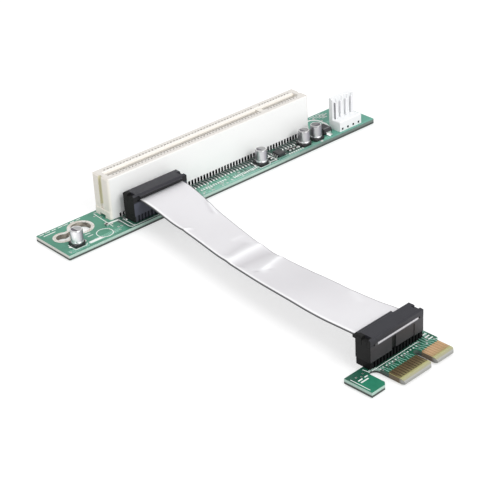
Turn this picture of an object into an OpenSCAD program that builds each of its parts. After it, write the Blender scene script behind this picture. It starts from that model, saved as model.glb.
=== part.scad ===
// Riser that turns a short card edge into a full-length expansion slot.
// A long board carries the slot, a small board carries the card edge,
// and a flat ribbon joins the two. X runs along the slot, Y runs away
// from the small board, Z is up. The origin lies under the middle of
// the slot, on the underside of the long board.

/* [Long board] */
// Thickness of the long board
board_t = 1.6; // [1.2:0.1:2.4]
// Board left of the slot housing
board_left = 22.3; // [21.8:0.1:26]
// Board right of the power header
board_end = 5.3; // [2:0.1:12]
// Board in front of the slot's centre line
board_front = 12.7; // [12.5:0.1:15]
// Board behind the slot's centre line
board_rear = 4.9; // [4.7:0.1:8]
// Corner radius of the long board
corner_r = 0.4; // [0.2:0.1:0.8]

/* [Keyhole] */
// Radius of the keyhole's large lobe
lobe_r = 3.2; // [2.8:0.1:3.3]
// Radius of the keyhole's small lobe
lobe_small_r = 2.1; // [1.7:0.1:2.2]
// Distance between the two lobes
lobe_gap = 7.8; // [7.4:0.1:8.4]
// Width of the neck between the lobes
neck_w = 1.8; // [1.2:0.1:2.2]
// Width of the tinned ring around the keyhole
ring_w = 1.1; // [0.6:0.1:1.2]
// Thickness of plated copper
plate_t = 0.05; // [0.03:0.01:0.08]

/* [Slot] */
// Length of the slot housing
socket_l = 84.84; // [84:0.02:86]
// Width of the slot housing
socket_w = 8.2; // [8:0.1:9]
// Height of the slot housing above the board
socket_h = 14; // [12.5:0.1:16]
// Width of the slot
slot_w = 1.9; // [1.7:0.05:2.1]
// Depth of the slot
slot_d = 8.4; // [7:0.1:9]
// Solid housing left at each end of the slot
slot_end = 2.1; // [1.8:0.1:2.6]
// Width of the key bar across the slot
key_w = 1.8; // [1.4:0.1:1.9]
// Distance from one contact to the next
pitch = 1.27; // [1.26:0.005:1.28]
// Width of a contact
contact_w = 0.5; // [0.4:0.02:0.56]
// Thickness of a contact's strip
contact_t = 0.25; // [0.2:0.01:0.3]
// How far a front contact's foot reaches from the slot's centre line
foot_reach = 7; // [6:0.1:7.1]
// How far a rear contact's foot stays inside the housing
foot_inset = 0.15; // [0.1:0.05:0.4]

/* [Cable connectors] */
// Length of a cable connector
conn_l = 21.3; // [20.6:0.1:22]
// Depth of a cable connector
conn_d = 5.2; // [5:0.1:5.6]
// Height of the connector's lower half
conn_base_h = 4.6; // [4:0.1:5.4]
// Height of the connector's clamping cover
conn_cover_h = 1.9; // [1.6:0.1:2.4]
// Gap between the board and the connector, filled by the pin header
conn_gap = 2.4; // [1.8:0.1:2.8]
// Pins in one row of the header
header_pins = 15; // [10:1:15]
// Width of a header pin
pin_w = 0.42; // [0.36:0.02:0.46]
// Connector's middle in front of the slot's centre line
conn_front = 8.9; // [8.7:0.1:9.1]
// Connector's middle from the left end of the slot housing
conn_x = 14.4; // [14:0.1:15]

/* [Ribbon] */
// Room between the ribbon and a connector's ear, on each side
ribbon_play = 0.55; // [0.1:0.05:1]
// Thickness of the ribbon
ribbon_t = 0.5; // [0.3:0.05:0.7]

/* [Card edge board] */
// Thickness of the card edge board
edge_t = 1.57; // [1.5:0.01:1.6]
// Depth of the card edge board
edge_d = 12.5; // [12.4:0.1:13]
// Width of the contact tab left of the key notch
tab_left_w = 11.2; // [11.1:0.05:11.3]
// Width of the contact tab right of the key notch
tab_right_w = 7.2; // [7.1:0.05:7.3]
// Width of the key notch
notch_w = 1.9; // [1.8:0.05:2]
// Depth of the key notch
notch_d = 7.4; // [6.8:0.1:8]
// Depth of the hook notch beside the left tab
hook_notch_d = 8.6; // [8:0.1:9]
// Distance from one edge finger to the next
finger_pitch = 1; // [0.98:0.01:1.02]
// Width of an edge finger
finger_w = 0.7; // [0.6:0.02:0.74]
// Length of an edge finger
finger_l = 4; // [3.4:0.1:4.8]

/* [Power header] */
// Pins of the power header
power_count = 4; // [2:1:4]
// Distance from one power pin to the next
power_pitch = 2.54; // [2.5:0.01:2.6]
// Depth of the power header's block
power_d = 5.2; // [5:0.1:5.8]
// Height of the power header's block
power_h = 3.6; // [3.2:0.1:4]
// Height of the power header's latch wall
wall_h = 11.2; // [9:0.1:11.8]

/* [Small parts] */
// Diameter of a capacitor can
can_d = 4; // [3.4:0.1:4.2]
// Height of a capacitor
can_h = 5.3; // [4.6:0.1:6]
// Side of a capacitor's base
can_base_w = 4.3; // [4.2:0.1:4.4]

/* [Hidden] */
$fn = 48;
over = 0.5;
clear = 0.06;
board_w = board_front + board_rear;
board_x0 = -socket_l / 2 - board_left;
board_y0 = -board_front;

// Places on the long board are measured from the slot housing's left end,
// or from its right end
place_x0 = -socket_l / 2;
place_x1 = socket_l / 2;
lobe_x = 9.3;
lobe_y = -0.6;
lobe_turn = 190;

// Contact places along one side, with the two that the key takes, as the
// card's standard sets them
spare_places = 1;
places = floor((socket_l - 2 * slot_end) / pitch) - spare_places;
key_place = 49;
key_places = 2;

// Slot housing
housing_edge = 0.35;
housing_corner_r = 0.8;
lead_in_d = 0.8;
lead_in_w = 0.75;
end_groove_w = 1.6;
end_groove_d = 0.7;
end_groove_z = 2.7;
end_foot_out = 0.15;
end_foot_h = 2.4;
end_foot_gap_w = 2.8;
end_foot_gap_h = 0.9;
cavity_share = 1.2;
cavity_w = contact_w * cavity_share + 2 * clear;
cavity_out_h = 1.25;
cavity_top = 1.5;
shaft_in = 0.55;
shaft_y0 = slot_w / 2 + shaft_in;
window_in = 0.95;
window_y0 = slot_w / 2 + window_in;
window_out = 1.65;
window_y1 = slot_w / 2 + window_out;
peg_r = 1.15;
peg_inset = 5.4;
peg_l = 1.3;

// Contact strip, measured from the slot's wall and the housing's top
strip_in = 1.15;
strip_y = slot_w / 2 + strip_in;
bend_drop = 5.1;
bend_z = socket_h - bend_drop;
nose_out = 0.25;
nose_y = slot_w / 2 - nose_out;
nose_drop = 2.8;
nose_z = socket_h - nose_drop;
tip_in = 0.3;
tip_y = slot_w / 2 + tip_in;
tip_drop = 1.7;
tip_z = socket_h - tip_drop;

// Cable connector and its header
ribbon_z = conn_gap + conn_base_h;
conn_top = ribbon_z + ribbon_t + conn_cover_h;
conn_edge = 0.4;
ear_l = 1.5;
ribbon_w = conn_l - 2 * ear_l - 2 * ribbon_play;
ear_y0 = -1.6;
ear_w = 2;
ear_h = 1.6;
lip_out = 0.9;
lip_h = 0.9;
lip_short = 2.2;
lip_short_right = 6.2;
key_slot_x = -2.05;
key_slot_w = 1.8;
key_slot_d = 0.55;
face_recess_d = 0.3;
face_recess_l = 8.2;
face_recess_h = 3.9;
strip_lift = 0.3;
strip_h = conn_gap - strip_lift;
strip_inset = 0.15;
tooth_w = 0.62;
tooth_d = 0.7;
row_gap = pitch;
rows_y = -1;
pin_up = 3.2;
pin_foot_l = 0.45;
pin_foot_t = 0.22;
pin_hole_w = pin_w + 2 * clear;
conn_y = -conn_front;

// Card edge board, its origin at the key notch's middle on the tab's tip
edge_place = 12.1;
edge_x = place_x0 + edge_place;
edge_y = -128.5;
edge_turn = 2.8;
edge_z = plate_t;
edge_right_out = 1.05;
edge_shoulder_y = 6.9;
tail_x0 = -21.7;
tail_w = 5.9;
tail_y0 = 2.8;
tail_cut = 0.9;
bevel_l = 1.1;
bevel_h = 0.42;
tab_corner = 0.7;
finger_y0 = 1.8;
finger_first = 1.65;
fingers_left = 11;
fingers_right = 7;
short_finger = 6;
finger_cut = 1;
edge_conn_x = -4.2;
edge_conn_front = 9.5;
edge_conn_y = edge_conn_front + conn_d / 2;

// Power header
power_place = 7.3;
power_x0 = place_x1 + power_place;
power_y0 = -11.7;
power_w = power_count * power_pitch;
board_l = power_x0 + power_w + board_end - board_x0;
wall_t = 1.1;
rib_w = 0.9;
rib_t = 0.45;
power_pin_w = 0.64;
power_pin_top = 9.6;
power_pin_y = 3.3;
vent_w = 0.8;
vent_h = 0.8;
vent_z = 0.45;
vent_d = 1.2;
power_edge = 0.25;

// Capacitors, their places and which way their leads point
can_base_h = 0.9;
can_base_cut = 0.9;
can_base_trim = 0.35;
can_waist = 0.12;
can_waist_z = 1.35;
can_waist_h = 0.35;
can_round = 0.35;
can_lead_w = 0.7;
can_lead_l = 0.75;
can_lead_t = 0.15;
can_from = [place_x0, place_x1, place_x1, place_x1];
can_x = [-16.2, -26.6, -7.2, -1.6];
can_y = [-8.6, -9.3, -9.3, -9.2];
can_turn = [0, 0, 0, 90];

// Rectifier diode
diode_x = 3.5;
diode_y = -7.7;
diode_w = 3.6;
diode_l = 4.4;
diode_h = 2.2;
diode_taper = 0.25;
diode_tab_w = 2;
diode_tab_out = 0.8;
diode_tab_t = 0.22;
diode_tab_z = 1.1;

// Voltage regulator
reg_x = -18.5;
reg_y = -9;
reg_turn = 90;
reg_l = 3.4;
reg_w = 2.8;
reg_h = 1.15;
reg_lift = 0.1;
reg_lead_w = 0.42;
reg_lead_t = 0.16;
reg_lead_out = 0.75;
reg_lead_pitch = 0.95;

// Chip parts and the way each is turned
chip_l = 1.6;
chip_w = 0.85;
chip_h = 0.5;
chip_end = 0.35;
chip_end_t = 0.04;
chip_from = [place_x1, place_x1, place_x1, place_x1, place_x0];
chip_x = [-22.5, -14.2, -12.6, -11, -2.9];
chip_y = [-9.2, -9.3, -9.3, -9.3, -5.6];
chip_turn = [90, 90, 90, 90, 90];

// The ribbon's middle line between the two connectors: X from the slot
// housing's left end, Y, and Z from the long board's top
route = [
    [14.4, -13.6, 7.2], [14.2, -17.9, 6.9], [13.5, -24.2, 6.3],
    [12.6, -30.5, 5.8], [11.9, -36.9, 5.5], [11.1, -43.3, 5.2],
    [10.2, -49.7, 5], [9.4, -56.1, 4.9], [8.7, -62.5, 5.1],
    [8.1, -68.9, 5.4], [7.6, -75.3, 5.7], [7.2, -81.7, 6.1],
    [6.9, -88.1, 6.4], [6.6, -94.5, 6.6], [6.6, -100.9, 6.8],
    [6.9, -107.3, 7], [7.1, -111.2, 7.2]
];

// Turn of the ribbon's width in the plane and its tilt, at each point
route_turn = [0, -1.6, -3, -4, -4.6, -5.1, -5.3, -5.2, -4.9, -4.3, -3.5, -2.6,
              -1.7, -0.5, 0.8, 2, 2.8];
route_tilt = [0, -1.6, -4, -6.6, -8.9, -10.4, -11.7, -12.2, -11.4, -9.4, -7.4,
              -5.8, -5, -4.2, -2.8, -1.4, 0];

// Rectangle with round corners, from its lower left corner
module round_rect(w, d, r) {
    translate([r, r])
        square([w - 2 * r, d - 2 * r]);
    for (x = [r, w - r], y = [r, d - r])
        translate([x, y])
            circle(r);
    translate([0, r])
        square([w, d - 2 * r]);
    translate([r, 0])
        square([w - 2 * r, d]);
}

// Moves a part to its place on top of the long board
module on_board(x, y, turn = 0) {
    translate([x, y, board_t])
        rotate(turn)
            children();
}

// Moves a part into the card edge board's frame
module on_edge(z = 0) {
    translate([edge_x, edge_y, edge_z + z])
        rotate(edge_turn)
            children();
}

// Block centred on X and Y, standing on Z = 0, its upper edges chamfered
module edged_block(l, d, h, e) {
    intersection() {
        translate([0, -d / 2, 0])
            rotate([90, 0, 90])
                translate([0, 0, -l / 2])
                    linear_extrude(l)
                        polygon([[0, 0], [d, 0], [d, h - e], [d - e, h], [e, h], [0, h - e]]);
        translate([-l / 2, d / 2, 0])
            rotate([90, 0, 0])
                linear_extrude(d)
                    polygon([[0, 0], [l, 0], [l, h - e], [l - e, h], [e, h], [0, h - e]]);
    }
}

// Two joined round holes, grown outwards by the given width
module keyhole(grow) {
    circle(lobe_r + grow);
    translate([lobe_gap, 0])
        circle(lobe_small_r + grow);
    translate([0, -neck_w / 2 - grow])
        square([lobe_gap, neck_w + 2 * grow]);
}

module place_keyhole() {
    translate([place_x0 - lobe_x, lobe_y])
        rotate(lobe_turn)
            children();
}

module main_board() {
    color([0.16, 0.5, 0.38])
        difference() {
            translate([board_x0, board_y0])
                linear_extrude(board_t)
                    round_rect(board_l, board_w, corner_r);
            translate([0, 0, -over])
                linear_extrude(board_t + 2 * over)
                    place_keyhole()
                        keyhole(0);
            for (x = [-1, 1])
                translate([x * (socket_l / 2 - peg_inset), 0, -over])
                    cylinder(r = peg_r + clear, h = board_t + 2 * over);
        }
}

module hole_ring() {
    color([0.78, 0.75, 0.68])
        translate([0, 0, board_t])
            linear_extrude(plate_t)
                place_keyhole()
                    difference() {
                        keyhole(ring_w);
                        keyhole(0);
                    }
}

// Places of the contacts along the slot, without the key's two
module at_contacts() {
    for (i = [0 : places - 1])
        if (i < key_place || i >= key_place + key_places)
            translate([(i - (places - 1) / 2) * pitch, 0, 0])
                children();
}

// A flat outline drawn in Y and Z, given a thickness centred on X = 0
module yz_plate(w) {
    rotate([90, 0, 90])
        translate([0, 0, -w / 2])
            linear_extrude(w)
                children();
}

// Space for one contact: a shaft from the foot to a window in the top,
// open to the slot above its floor and to the front at the foot
module contact_cavity() {
    floor_z = socket_h - slot_d;
    yz_plate(cavity_w)
        polygon([
            [shaft_y0, -over], [socket_w / 2 + over, -over],
            [socket_w / 2 + over, cavity_out_h], [window_y1, cavity_out_h],
            [window_y1, socket_h + over], [window_y0, socket_h + over],
            [window_y0, socket_h - cavity_top], [slot_w / 2 - over, socket_h - cavity_top],
            [slot_w / 2 - over, floor_z], [shaft_y0, floor_z]
        ]);
}

// The housing's plan with its round corners, longer at each end by out
module housing_plan(h, out) {
    linear_extrude(h)
        translate([-socket_l / 2 - out, -socket_w / 2])
            round_rect(socket_l + 2 * out, socket_w, housing_corner_r);
}

module pci_socket() {
    key_x = (key_place + (key_places - places) / 2) * pitch;
    slot_l = socket_l - 2 * slot_end;
    color([0.95, 0.94, 0.91])
        translate([0, 0, board_t]) {
            difference() {
                union() {
                    intersection() {
                        edged_block(socket_l, socket_w, socket_h, housing_edge);
                        housing_plan(socket_h, 0);
                    }
                    housing_plan(end_foot_h, end_foot_out);
                }
                // slot with its lead-in, on both sides of the key
                difference() {
                    yz_plate(slot_l)
                        polygon([
                            [-slot_w / 2, socket_h - slot_d], [slot_w / 2, socket_h - slot_d],
                            [slot_w / 2, socket_h - lead_in_d],
                            [slot_w / 2 + lead_in_w, socket_h],
                            [slot_w / 2 + lead_in_w, socket_h + over],
                            [-slot_w / 2 - lead_in_w, socket_h + over],
                            [-slot_w / 2 - lead_in_w, socket_h],
                            [-slot_w / 2, socket_h - lead_in_d]
                        ]);
                    translate([key_x - key_w / 2, -socket_w / 2, 0])
                        cube([key_w, socket_w, socket_h - lead_in_d / 2]);
                }
                at_contacts()
                    contact_cavity();
                at_contacts()
                    mirror([0, 1, 0])
                        contact_cavity();
                // guide groove up each end, and the gap under it
                for (s = [-1, 1]) {
                    translate([s * (socket_l / 2), 0, end_groove_z])
                        translate([-end_groove_d, -end_groove_w / 2, 0])
                            cube([2 * end_groove_d, end_groove_w, socket_h]);
                    translate([s * (socket_l / 2), 0, 0])
                        translate([-slot_end, -end_foot_gap_w / 2, -over])
                            cube([2 * slot_end, end_foot_gap_w, end_foot_gap_h + over]);
                }
            }
            for (s = [-1, 1])
                translate([s * (socket_l / 2 - peg_inset), 0, -peg_l])
                    cylinder(r = peg_r, h = peg_l + over);
        }
}

// One sprung contact, standing on its soldered foot
module contact(foot_y) {
    yz_plate(contact_w)
        polygon([
            [strip_y, 0], [foot_y, 0], [foot_y, contact_t],
            [strip_y + contact_t, contact_t], [strip_y + contact_t, bend_z],
            [nose_y + contact_t, nose_z], [tip_y + contact_t, tip_z],
            [tip_y, tip_z], [nose_y, nose_z], [strip_y, bend_z]
        ]);
}

module pci_contacts_front() {
    color([0.72, 0.7, 0.66])
        translate([0, 0, board_t])
            at_contacts()
                mirror([0, 1, 0])
                    contact(foot_reach);
}

module pci_contacts_rear() {
    color([0.72, 0.7, 0.66])
        translate([0, 0, board_t])
            at_contacts()
                contact(socket_w / 2 - foot_inset);
}

// Rows of pins of a cable connector's header
module at_pins() {
    for (i = [0 : header_pins - 1], s = [-1, 1])
        translate([(i - (header_pins - 1) / 2) * pitch, rows_y + s * row_gap / 2, 0])
            children();
}

module header_strip() {
    strip_d = conn_d - 2 * strip_inset;
    strip_l = conn_l - 2 * strip_inset;
    color([0.1, 0.1, 0.1])
        translate([0, 0, conn_gap - strip_h])
            difference() {
                translate([-strip_l / 2, -strip_d / 2, 0])
                    cube([strip_l, strip_d, strip_h]);
                for (i = [0 : header_pins - 1], s = [-1, 1])
                    translate([(i - (header_pins - 1) / 2) * pitch, s * strip_d / 2, strip_h / 2])
                        cube([tooth_w, 2 * tooth_d, strip_h + 2 * over], center = true);
                at_pins()
                    translate([-pin_hole_w / 2, -pin_hole_w / 2, -over])
                        cube([pin_hole_w, pin_hole_w, strip_h + 2 * over]);
            }
}

module header_pins() {
    color([0.8, 0.76, 0.6])
        for (i = [0 : header_pins - 1], s = [-1, 1])
            translate([(i - (header_pins - 1) / 2) * pitch, rows_y, 0])
                mirror([0, s > 0 ? 0 : 1, 0])
                    yz_plate(pin_w)
                        polygon([
                            [row_gap / 2 - pin_w / 2, 0],
                            [row_gap / 2 + pin_w / 2 + pin_foot_l, 0],
                            [row_gap / 2 + pin_w / 2 + pin_foot_l, pin_foot_t],
                            [row_gap / 2 + pin_w / 2, pin_foot_t],
                            [row_gap / 2 + pin_w / 2, conn_gap + pin_up],
                            [row_gap / 2 - pin_w / 2, conn_gap + pin_up]
                        ]);
}

// Lower half of a cable connector, with a latch ear at each end
module cable_socket() {
    color([0.13, 0.13, 0.14])
        difference() {
            union() {
                translate([-conn_l / 2, -conn_d / 2, conn_gap])
                    cube([conn_l, conn_d, conn_base_h]);
                for (s = [-1, 1])
                    translate([s * (conn_l / 2 - ear_l / 2) - ear_l / 2, ear_y0, conn_gap])
                        cube([ear_l, ear_w, conn_base_h + ear_h]);
            }
            at_pins()
                translate([-pin_hole_w / 2, -pin_hole_w / 2, conn_gap - over])
                    cube([pin_hole_w, pin_hole_w, pin_up + clear + over]);
            // key groove in the front, and the shallow field beside it
            translate([key_slot_x, -conn_d / 2 - over, conn_gap - over])
                cube([key_slot_w, key_slot_d + over, conn_base_h]);
            translate([key_slot_x + key_slot_w / 2, -conn_d / 2 - over, conn_gap - over])
                cube([face_recess_l, face_recess_d + over, face_recess_h + over]);
        }
}

// Clamping cover with a lip over the ribbon on the side it leaves by, which
// stops short of the cover's left and right ends
module cable_cover(lip_side, short_left, short_right) {
    cover_z = ribbon_z + ribbon_t;
    lip_x0 = -conn_l / 2 + short_left;
    lip_l = conn_l - short_left - short_right;
    lip_y0 = lip_side > 0 ? 0 : -conn_d / 2 - lip_out;
    color([0.16, 0.16, 0.17])
        difference() {
            union() {
                translate([0, 0, cover_z])
                    edged_block(conn_l, conn_d, conn_cover_h, conn_edge);
                for (s = [-1, 1])
                    translate([s * (conn_l / 2 - ear_l / 2) - ear_l / 2, -conn_d / 2, ribbon_z])
                        cube([ear_l, conn_d, ribbon_t + over]);
                translate([lip_x0, lip_y0, conn_top - conn_edge - lip_h])
                    cube([lip_l, conn_d / 2 + lip_out, lip_h]);
            }
            for (s = [-1, 1])
                translate([s * (conn_l / 2 - ear_l / 2) - ear_l / 2, ear_y0, ribbon_z])
                    translate([s > 0 ? -clear : -over, -clear, -over])
                        cube([ear_l + clear + over, ear_w + 2 * clear, conn_cover_h + ribbon_t + 2 * over]);
        }
}

module main_conn() {
    on_board(place_x0 + conn_x, conn_y)
        children();
}

module edge_conn() {
    on_edge(edge_t)
        translate([edge_conn_x, edge_conn_y, 0])
            children();
}

module main_header() {
    main_conn()
        header_strip();
}

module main_header_pins() {
    main_conn()
        header_pins();
}

module main_cable_socket() {
    main_conn()
        cable_socket();
}

module main_cable_cover() {
    main_conn()
        cable_cover(-1, lip_short, lip_short);
}

module edge_header() {
    edge_conn()
        header_strip();
}

module edge_header_pins() {
    edge_conn()
        header_pins();
}

module edge_cable_socket() {
    edge_conn()
        cable_socket();
}

module edge_cable_cover() {
    edge_conn()
        cable_cover(1, 0, lip_short_right);
}

// Turns and moves a point from the card edge board's frame
function edge_point(p) = [
    edge_x + p[0] * cos(edge_turn) - p[1] * sin(edge_turn),
    edge_y + p[0] * sin(edge_turn) + p[1] * cos(edge_turn),
    edge_z + p[2]
];
function unit(v) = v / norm(v);

// Stations of the ribbon: straight through each connector, and the route
ribbon_mid = ribbon_z + ribbon_t / 2;
stations = concat(
    [for (s = [1, -1])
        [place_x0 + conn_x, conn_y + s * conn_d / 2, board_t + ribbon_mid, 0, 0]],
    [for (i = [0 : len(route) - 1])
        [place_x0 + route[i][0], route[i][1], board_t + route[i][2], route_turn[i], route_tilt[i]]],
    [for (s = [1, -1])
        concat(edge_point([edge_conn_x, edge_conn_y + s * conn_d / 2, edge_t + ribbon_mid]),
               [edge_turn, 0])]
);

// The four corners of the ribbon's section at one station
function ribbon_corners(i) =
    let (n = len(stations),
         s = stations[i],
         a = stations[max(i - 1, 0)],
         b = stations[min(i + 1, n - 1)],
         mid = [s[0], s[1], s[2]],
         along = unit([b[0] - a[0], b[1] - a[1], b[2] - a[2]]),
         across = [cos(s[3]) * cos(s[4]), sin(s[3]) * cos(s[4]), sin(s[4])],
         flat_end = i < 2 || i > n - 3,
         up = flat_end ? [0, 0, 1] : unit(cross(along, across)))
    [for (c = [[-1, -1], [1, -1], [1, 1], [-1, 1]])
        mid + c[0] * across * ribbon_w / 2 + c[1] * up * ribbon_t / 2];

module ribbon_cable() {
    n = len(stations);
    rings = [for (i = [0 : n - 1]) each ribbon_corners(i)];
    walls = [for (i = [0 : n - 2], k = [0 : 3])
        [4 * i + k, 4 * i + (k + 1) % 4, 4 * i + 4 + (k + 1) % 4, 4 * i + 4 + k]];
    color([0.86, 0.86, 0.88])
        polyhedron(rings, concat([[3, 2, 1, 0]], walls,
            [[4 * n - 4, 4 * n - 3, 4 * n - 2, 4 * n - 1]]), convexity = 6);
}

// Outline of the card edge board, cut by the key notch and the hook notch
module edge_outline() {
    tab_x0 = -notch_w / 2 - tab_left_w;
    tab_x1 = notch_w / 2 + tab_right_w;
    hook_w = tab_x0 - tail_x0 - tail_w;
    difference() {
        polygon([
            [tab_x0, 0], [tab_x1 - tab_corner, 0], [tab_x1, tab_corner],
            [tab_x1, edge_shoulder_y], [tab_x1 + edge_right_out, edge_shoulder_y],
            [tab_x1 + edge_right_out, edge_d], [tail_x0, edge_d], [tail_x0, tail_y0],
            [tail_x0 + tail_w - tail_cut, tail_y0], [tail_x0 + tail_w, tail_y0 + tail_cut],
            [tail_x0 + tail_w, hook_notch_d], [tab_x0, hook_notch_d]
        ]);
        // key notch with a round end
        translate([-notch_w / 2, -over])
            square([notch_w, notch_d - notch_w / 2 + over]);
        translate([0, notch_d - notch_w / 2])
            circle(notch_w / 2);
        translate([-notch_w / 2, -over])
            polygon([[0, over + tab_corner], [-tab_corner - over, 0], [0, 0]]);
        translate([tab_x0 - hook_w / 2, hook_notch_d])
            circle(hook_w / 2);
    }
}

module edge_board() {
    tab_x1 = notch_w / 2 + tab_right_w + edge_right_out;
    color([0.1, 0.52, 0.38])
        on_edge()
            intersection() {
                linear_extrude(edge_t)
                    edge_outline();
                // bevelled tip, which slides into the host's slot
                translate([tail_x0 - over, 0, 0])
                    rotate([90, 0, 90])
                        linear_extrude(tab_x1 - tail_x0 + 2 * over)
                            polygon([
                                [0, bevel_h], [bevel_l, 0], [edge_d, 0],
                                [edge_d, edge_t], [bevel_l, edge_t], [0, edge_t - bevel_h]
                            ]);
            }
}

// Plated fingers on one face: the left tab's, then the right tab's
module finger_row() {
    for (i = [0 : fingers_left - 1])
        translate([-finger_first - i * finger_pitch - finger_w / 2, finger_y0, 0])
            cube([finger_w, finger_l, plate_t]);
    for (i = [0 : fingers_right - 1])
        translate([finger_first + i * finger_pitch - finger_w / 2, finger_y0, 0])
            translate([0, i == short_finger ? finger_cut : 0, 0])
                cube([finger_w, finger_l - (i == short_finger ? finger_cut : 0), plate_t]);
}

module edge_fingers_top() {
    color([0.85, 0.68, 0.35])
        on_edge(edge_t)
            finger_row();
}

module edge_fingers_bottom() {
    color([0.85, 0.68, 0.35])
        on_edge(-plate_t)
            finger_row();
}

module power_header() {
    color([0.94, 0.95, 0.95])
        on_board(power_x0, power_y0)
            difference() {
                union() {
                    translate([power_w / 2, power_d / 2, 0])
                        edged_block(power_w, power_d, power_h, power_edge);
                    translate([0, power_d - wall_t, 0])
                        cube([power_w, wall_t, wall_h]);
                    // stiffening ribs up the front of the latch wall
                    for (i = [0 : power_count])
                        translate([min(max(i * power_pitch - rib_w / 2, 0), power_w - rib_w),
                                   power_d - wall_t - rib_t, 0])
                            cube([rib_w, rib_t + over, wall_h - rib_t]);
                }
                for (i = [0 : power_count - 1])
                    translate([power_pitch / 2 + i * power_pitch, 0, 0]) {
                        translate([-vent_w / 2, -over, vent_z])
                            cube([vent_w, vent_d + over, vent_h]);
                        translate([-power_pin_w / 2 - clear, power_pin_y - power_pin_w / 2 - clear, -over])
                            cube([power_pin_w + 2 * clear, power_pin_w + 2 * clear, power_h + 2 * over]);
                    }
            }
}

module power_pins() {
    color([0.82, 0.82, 0.8])
        on_board(power_x0, power_y0)
            for (i = [0 : power_count - 1])
                translate([power_pitch / 2 + i * power_pitch - power_pin_w / 2,
                           power_pin_y - power_pin_w / 2, 0])
                    cube([power_pin_w, power_pin_w, power_pin_top]);
}

// Rolled aluminium can with its crimped waist and rounded shoulder
module can() {
    r = can_d / 2;
    color([0.8, 0.8, 0.82])
        rotate_extrude()
            difference() {
                union() {
                    translate([0, can_base_h])
                        square([r, can_h - can_base_h - can_round]);
                    translate([0, can_base_h])
                        square([r - can_round, can_h - can_base_h]);
                    translate([r - can_round, can_h - can_round])
                        circle(can_round);
                }
                translate([r - can_waist, can_waist_z])
                    square([2 * can_waist, can_waist_h]);
                translate([-r, 0])
                    square([r, can_h + over]);
            }
}

// Moulded base with its two marked corners cut
module can_base() {
    h = can_base_w / 2;
    color([0.1, 0.1, 0.1])
        linear_extrude(can_base_h)
            polygon([
                [-h, -h + can_base_trim], [-h + can_base_trim, -h],
                [h - can_base_cut, -h], [h, -h + can_base_cut],
                [h, h - can_base_cut], [h - can_base_cut, h],
                [-h + can_base_trim, h], [-h, h - can_base_trim]
            ]);
}

module can_leads() {
    color([0.85, 0.84, 0.8])
        for (s = [0, 180])
            rotate(s)
                translate([can_base_w / 2, -can_lead_w / 2, 0])
                    cube([can_lead_l, can_lead_w, can_lead_t]);
}

module at_can(i) {
    on_board(can_from[i] + can_x[i], can_y[i], can_turn[i])
        children();
}

module diode_body() {
    color([0.12, 0.12, 0.13])
        on_board(place_x1 + diode_x, diode_y)
            intersection() {
                translate([0, -diode_l / 2, 0])
                    rotate([90, 0, 90])
                        translate([0, 0, -diode_w / 2])
                            linear_extrude(diode_w)
                                polygon([
                                    [diode_taper, can_lead_t], [diode_l - diode_taper, can_lead_t],
                                    [diode_l, diode_tab_z], [diode_l - diode_taper, diode_h],
                                    [diode_taper, diode_h], [0, diode_tab_z]
                                ]);
                translate([-diode_w / 2, diode_l / 2, 0])
                    rotate([90, 0, 0])
                        linear_extrude(diode_l)
                            polygon([
                                [0, 0], [diode_w, 0], [diode_w, diode_tab_z],
                                [diode_w - diode_taper, diode_h], [diode_taper, diode_h],
                                [0, diode_tab_z]
                            ]);
            }
}

// Bent tab at each end of the diode, wrapped down onto its pad
module diode_tabs() {
    out_y = diode_l / 2 + diode_tab_t;
    color([0.86, 0.85, 0.82])
        on_board(place_x1 + diode_x, diode_y)
            for (s = [0, 180])
                rotate(s)
                    yz_plate(diode_tab_w)
                        polygon([
                            [diode_l / 2, diode_tab_z],
                            [diode_l / 2, 0], [out_y + diode_tab_out, 0],
                            [out_y + diode_tab_out, diode_tab_t], [out_y, diode_tab_t],
                            [out_y, diode_tab_z]
                        ]);
}

module regulator_body() {
    color([0.14, 0.14, 0.15])
        on_board(place_x1 + reg_x, reg_y, reg_turn)
            translate([0, 0, reg_lift])
                edged_block(reg_l, reg_w, reg_h, reg_lift);
}

module regulator_leads() {
    y0 = reg_w / 2;
    z1 = reg_lift + reg_h / 2;
    color([0.84, 0.83, 0.8])
        on_board(place_x1 + reg_x, reg_y, reg_turn)
            for (i = [-1, 0, 1], s = [0, 180])
                if (s == 0 || i != 0)
                    rotate(s)
                        translate([i * reg_lead_pitch, 0, 0])
                            yz_plate(reg_lead_w)
                                polygon([
                                    [y0, z1], [y0, z1 - reg_lead_t],
                                    [y0 + reg_lead_out / 3, z1 - reg_lead_t],
                                    [y0 + reg_lead_out / 3, 0], [y0 + reg_lead_out, 0],
                                    [y0 + reg_lead_out, reg_lead_t],
                                    [y0 + reg_lead_out / 3 + reg_lead_t, reg_lead_t],
                                    [y0 + reg_lead_out / 3 + reg_lead_t, z1]
                                ]);
}

module chip_bodies() {
    color([0.45, 0.38, 0.3])
        for (i = [0 : len(chip_x) - 1])
            on_board(chip_from[i] + chip_x[i], chip_y[i], chip_turn[i])
                translate([-chip_l / 2 + chip_end, -chip_w / 2, 0])
                    cube([chip_l - 2 * chip_end, chip_w, chip_h]);
}

module chip_ends() {
    color([0.86, 0.86, 0.84])
        for (i = [0 : len(chip_x) - 1])
            on_board(chip_from[i] + chip_x[i], chip_y[i], chip_turn[i])
                for (s = [-1, 1])
                    translate([s * (chip_l / 2 - chip_end / 2), 0, (chip_h + chip_end_t) / 2])
                        cube([chip_end, chip_w + 2 * chip_end_t, chip_h + chip_end_t], center = true);
}

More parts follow.
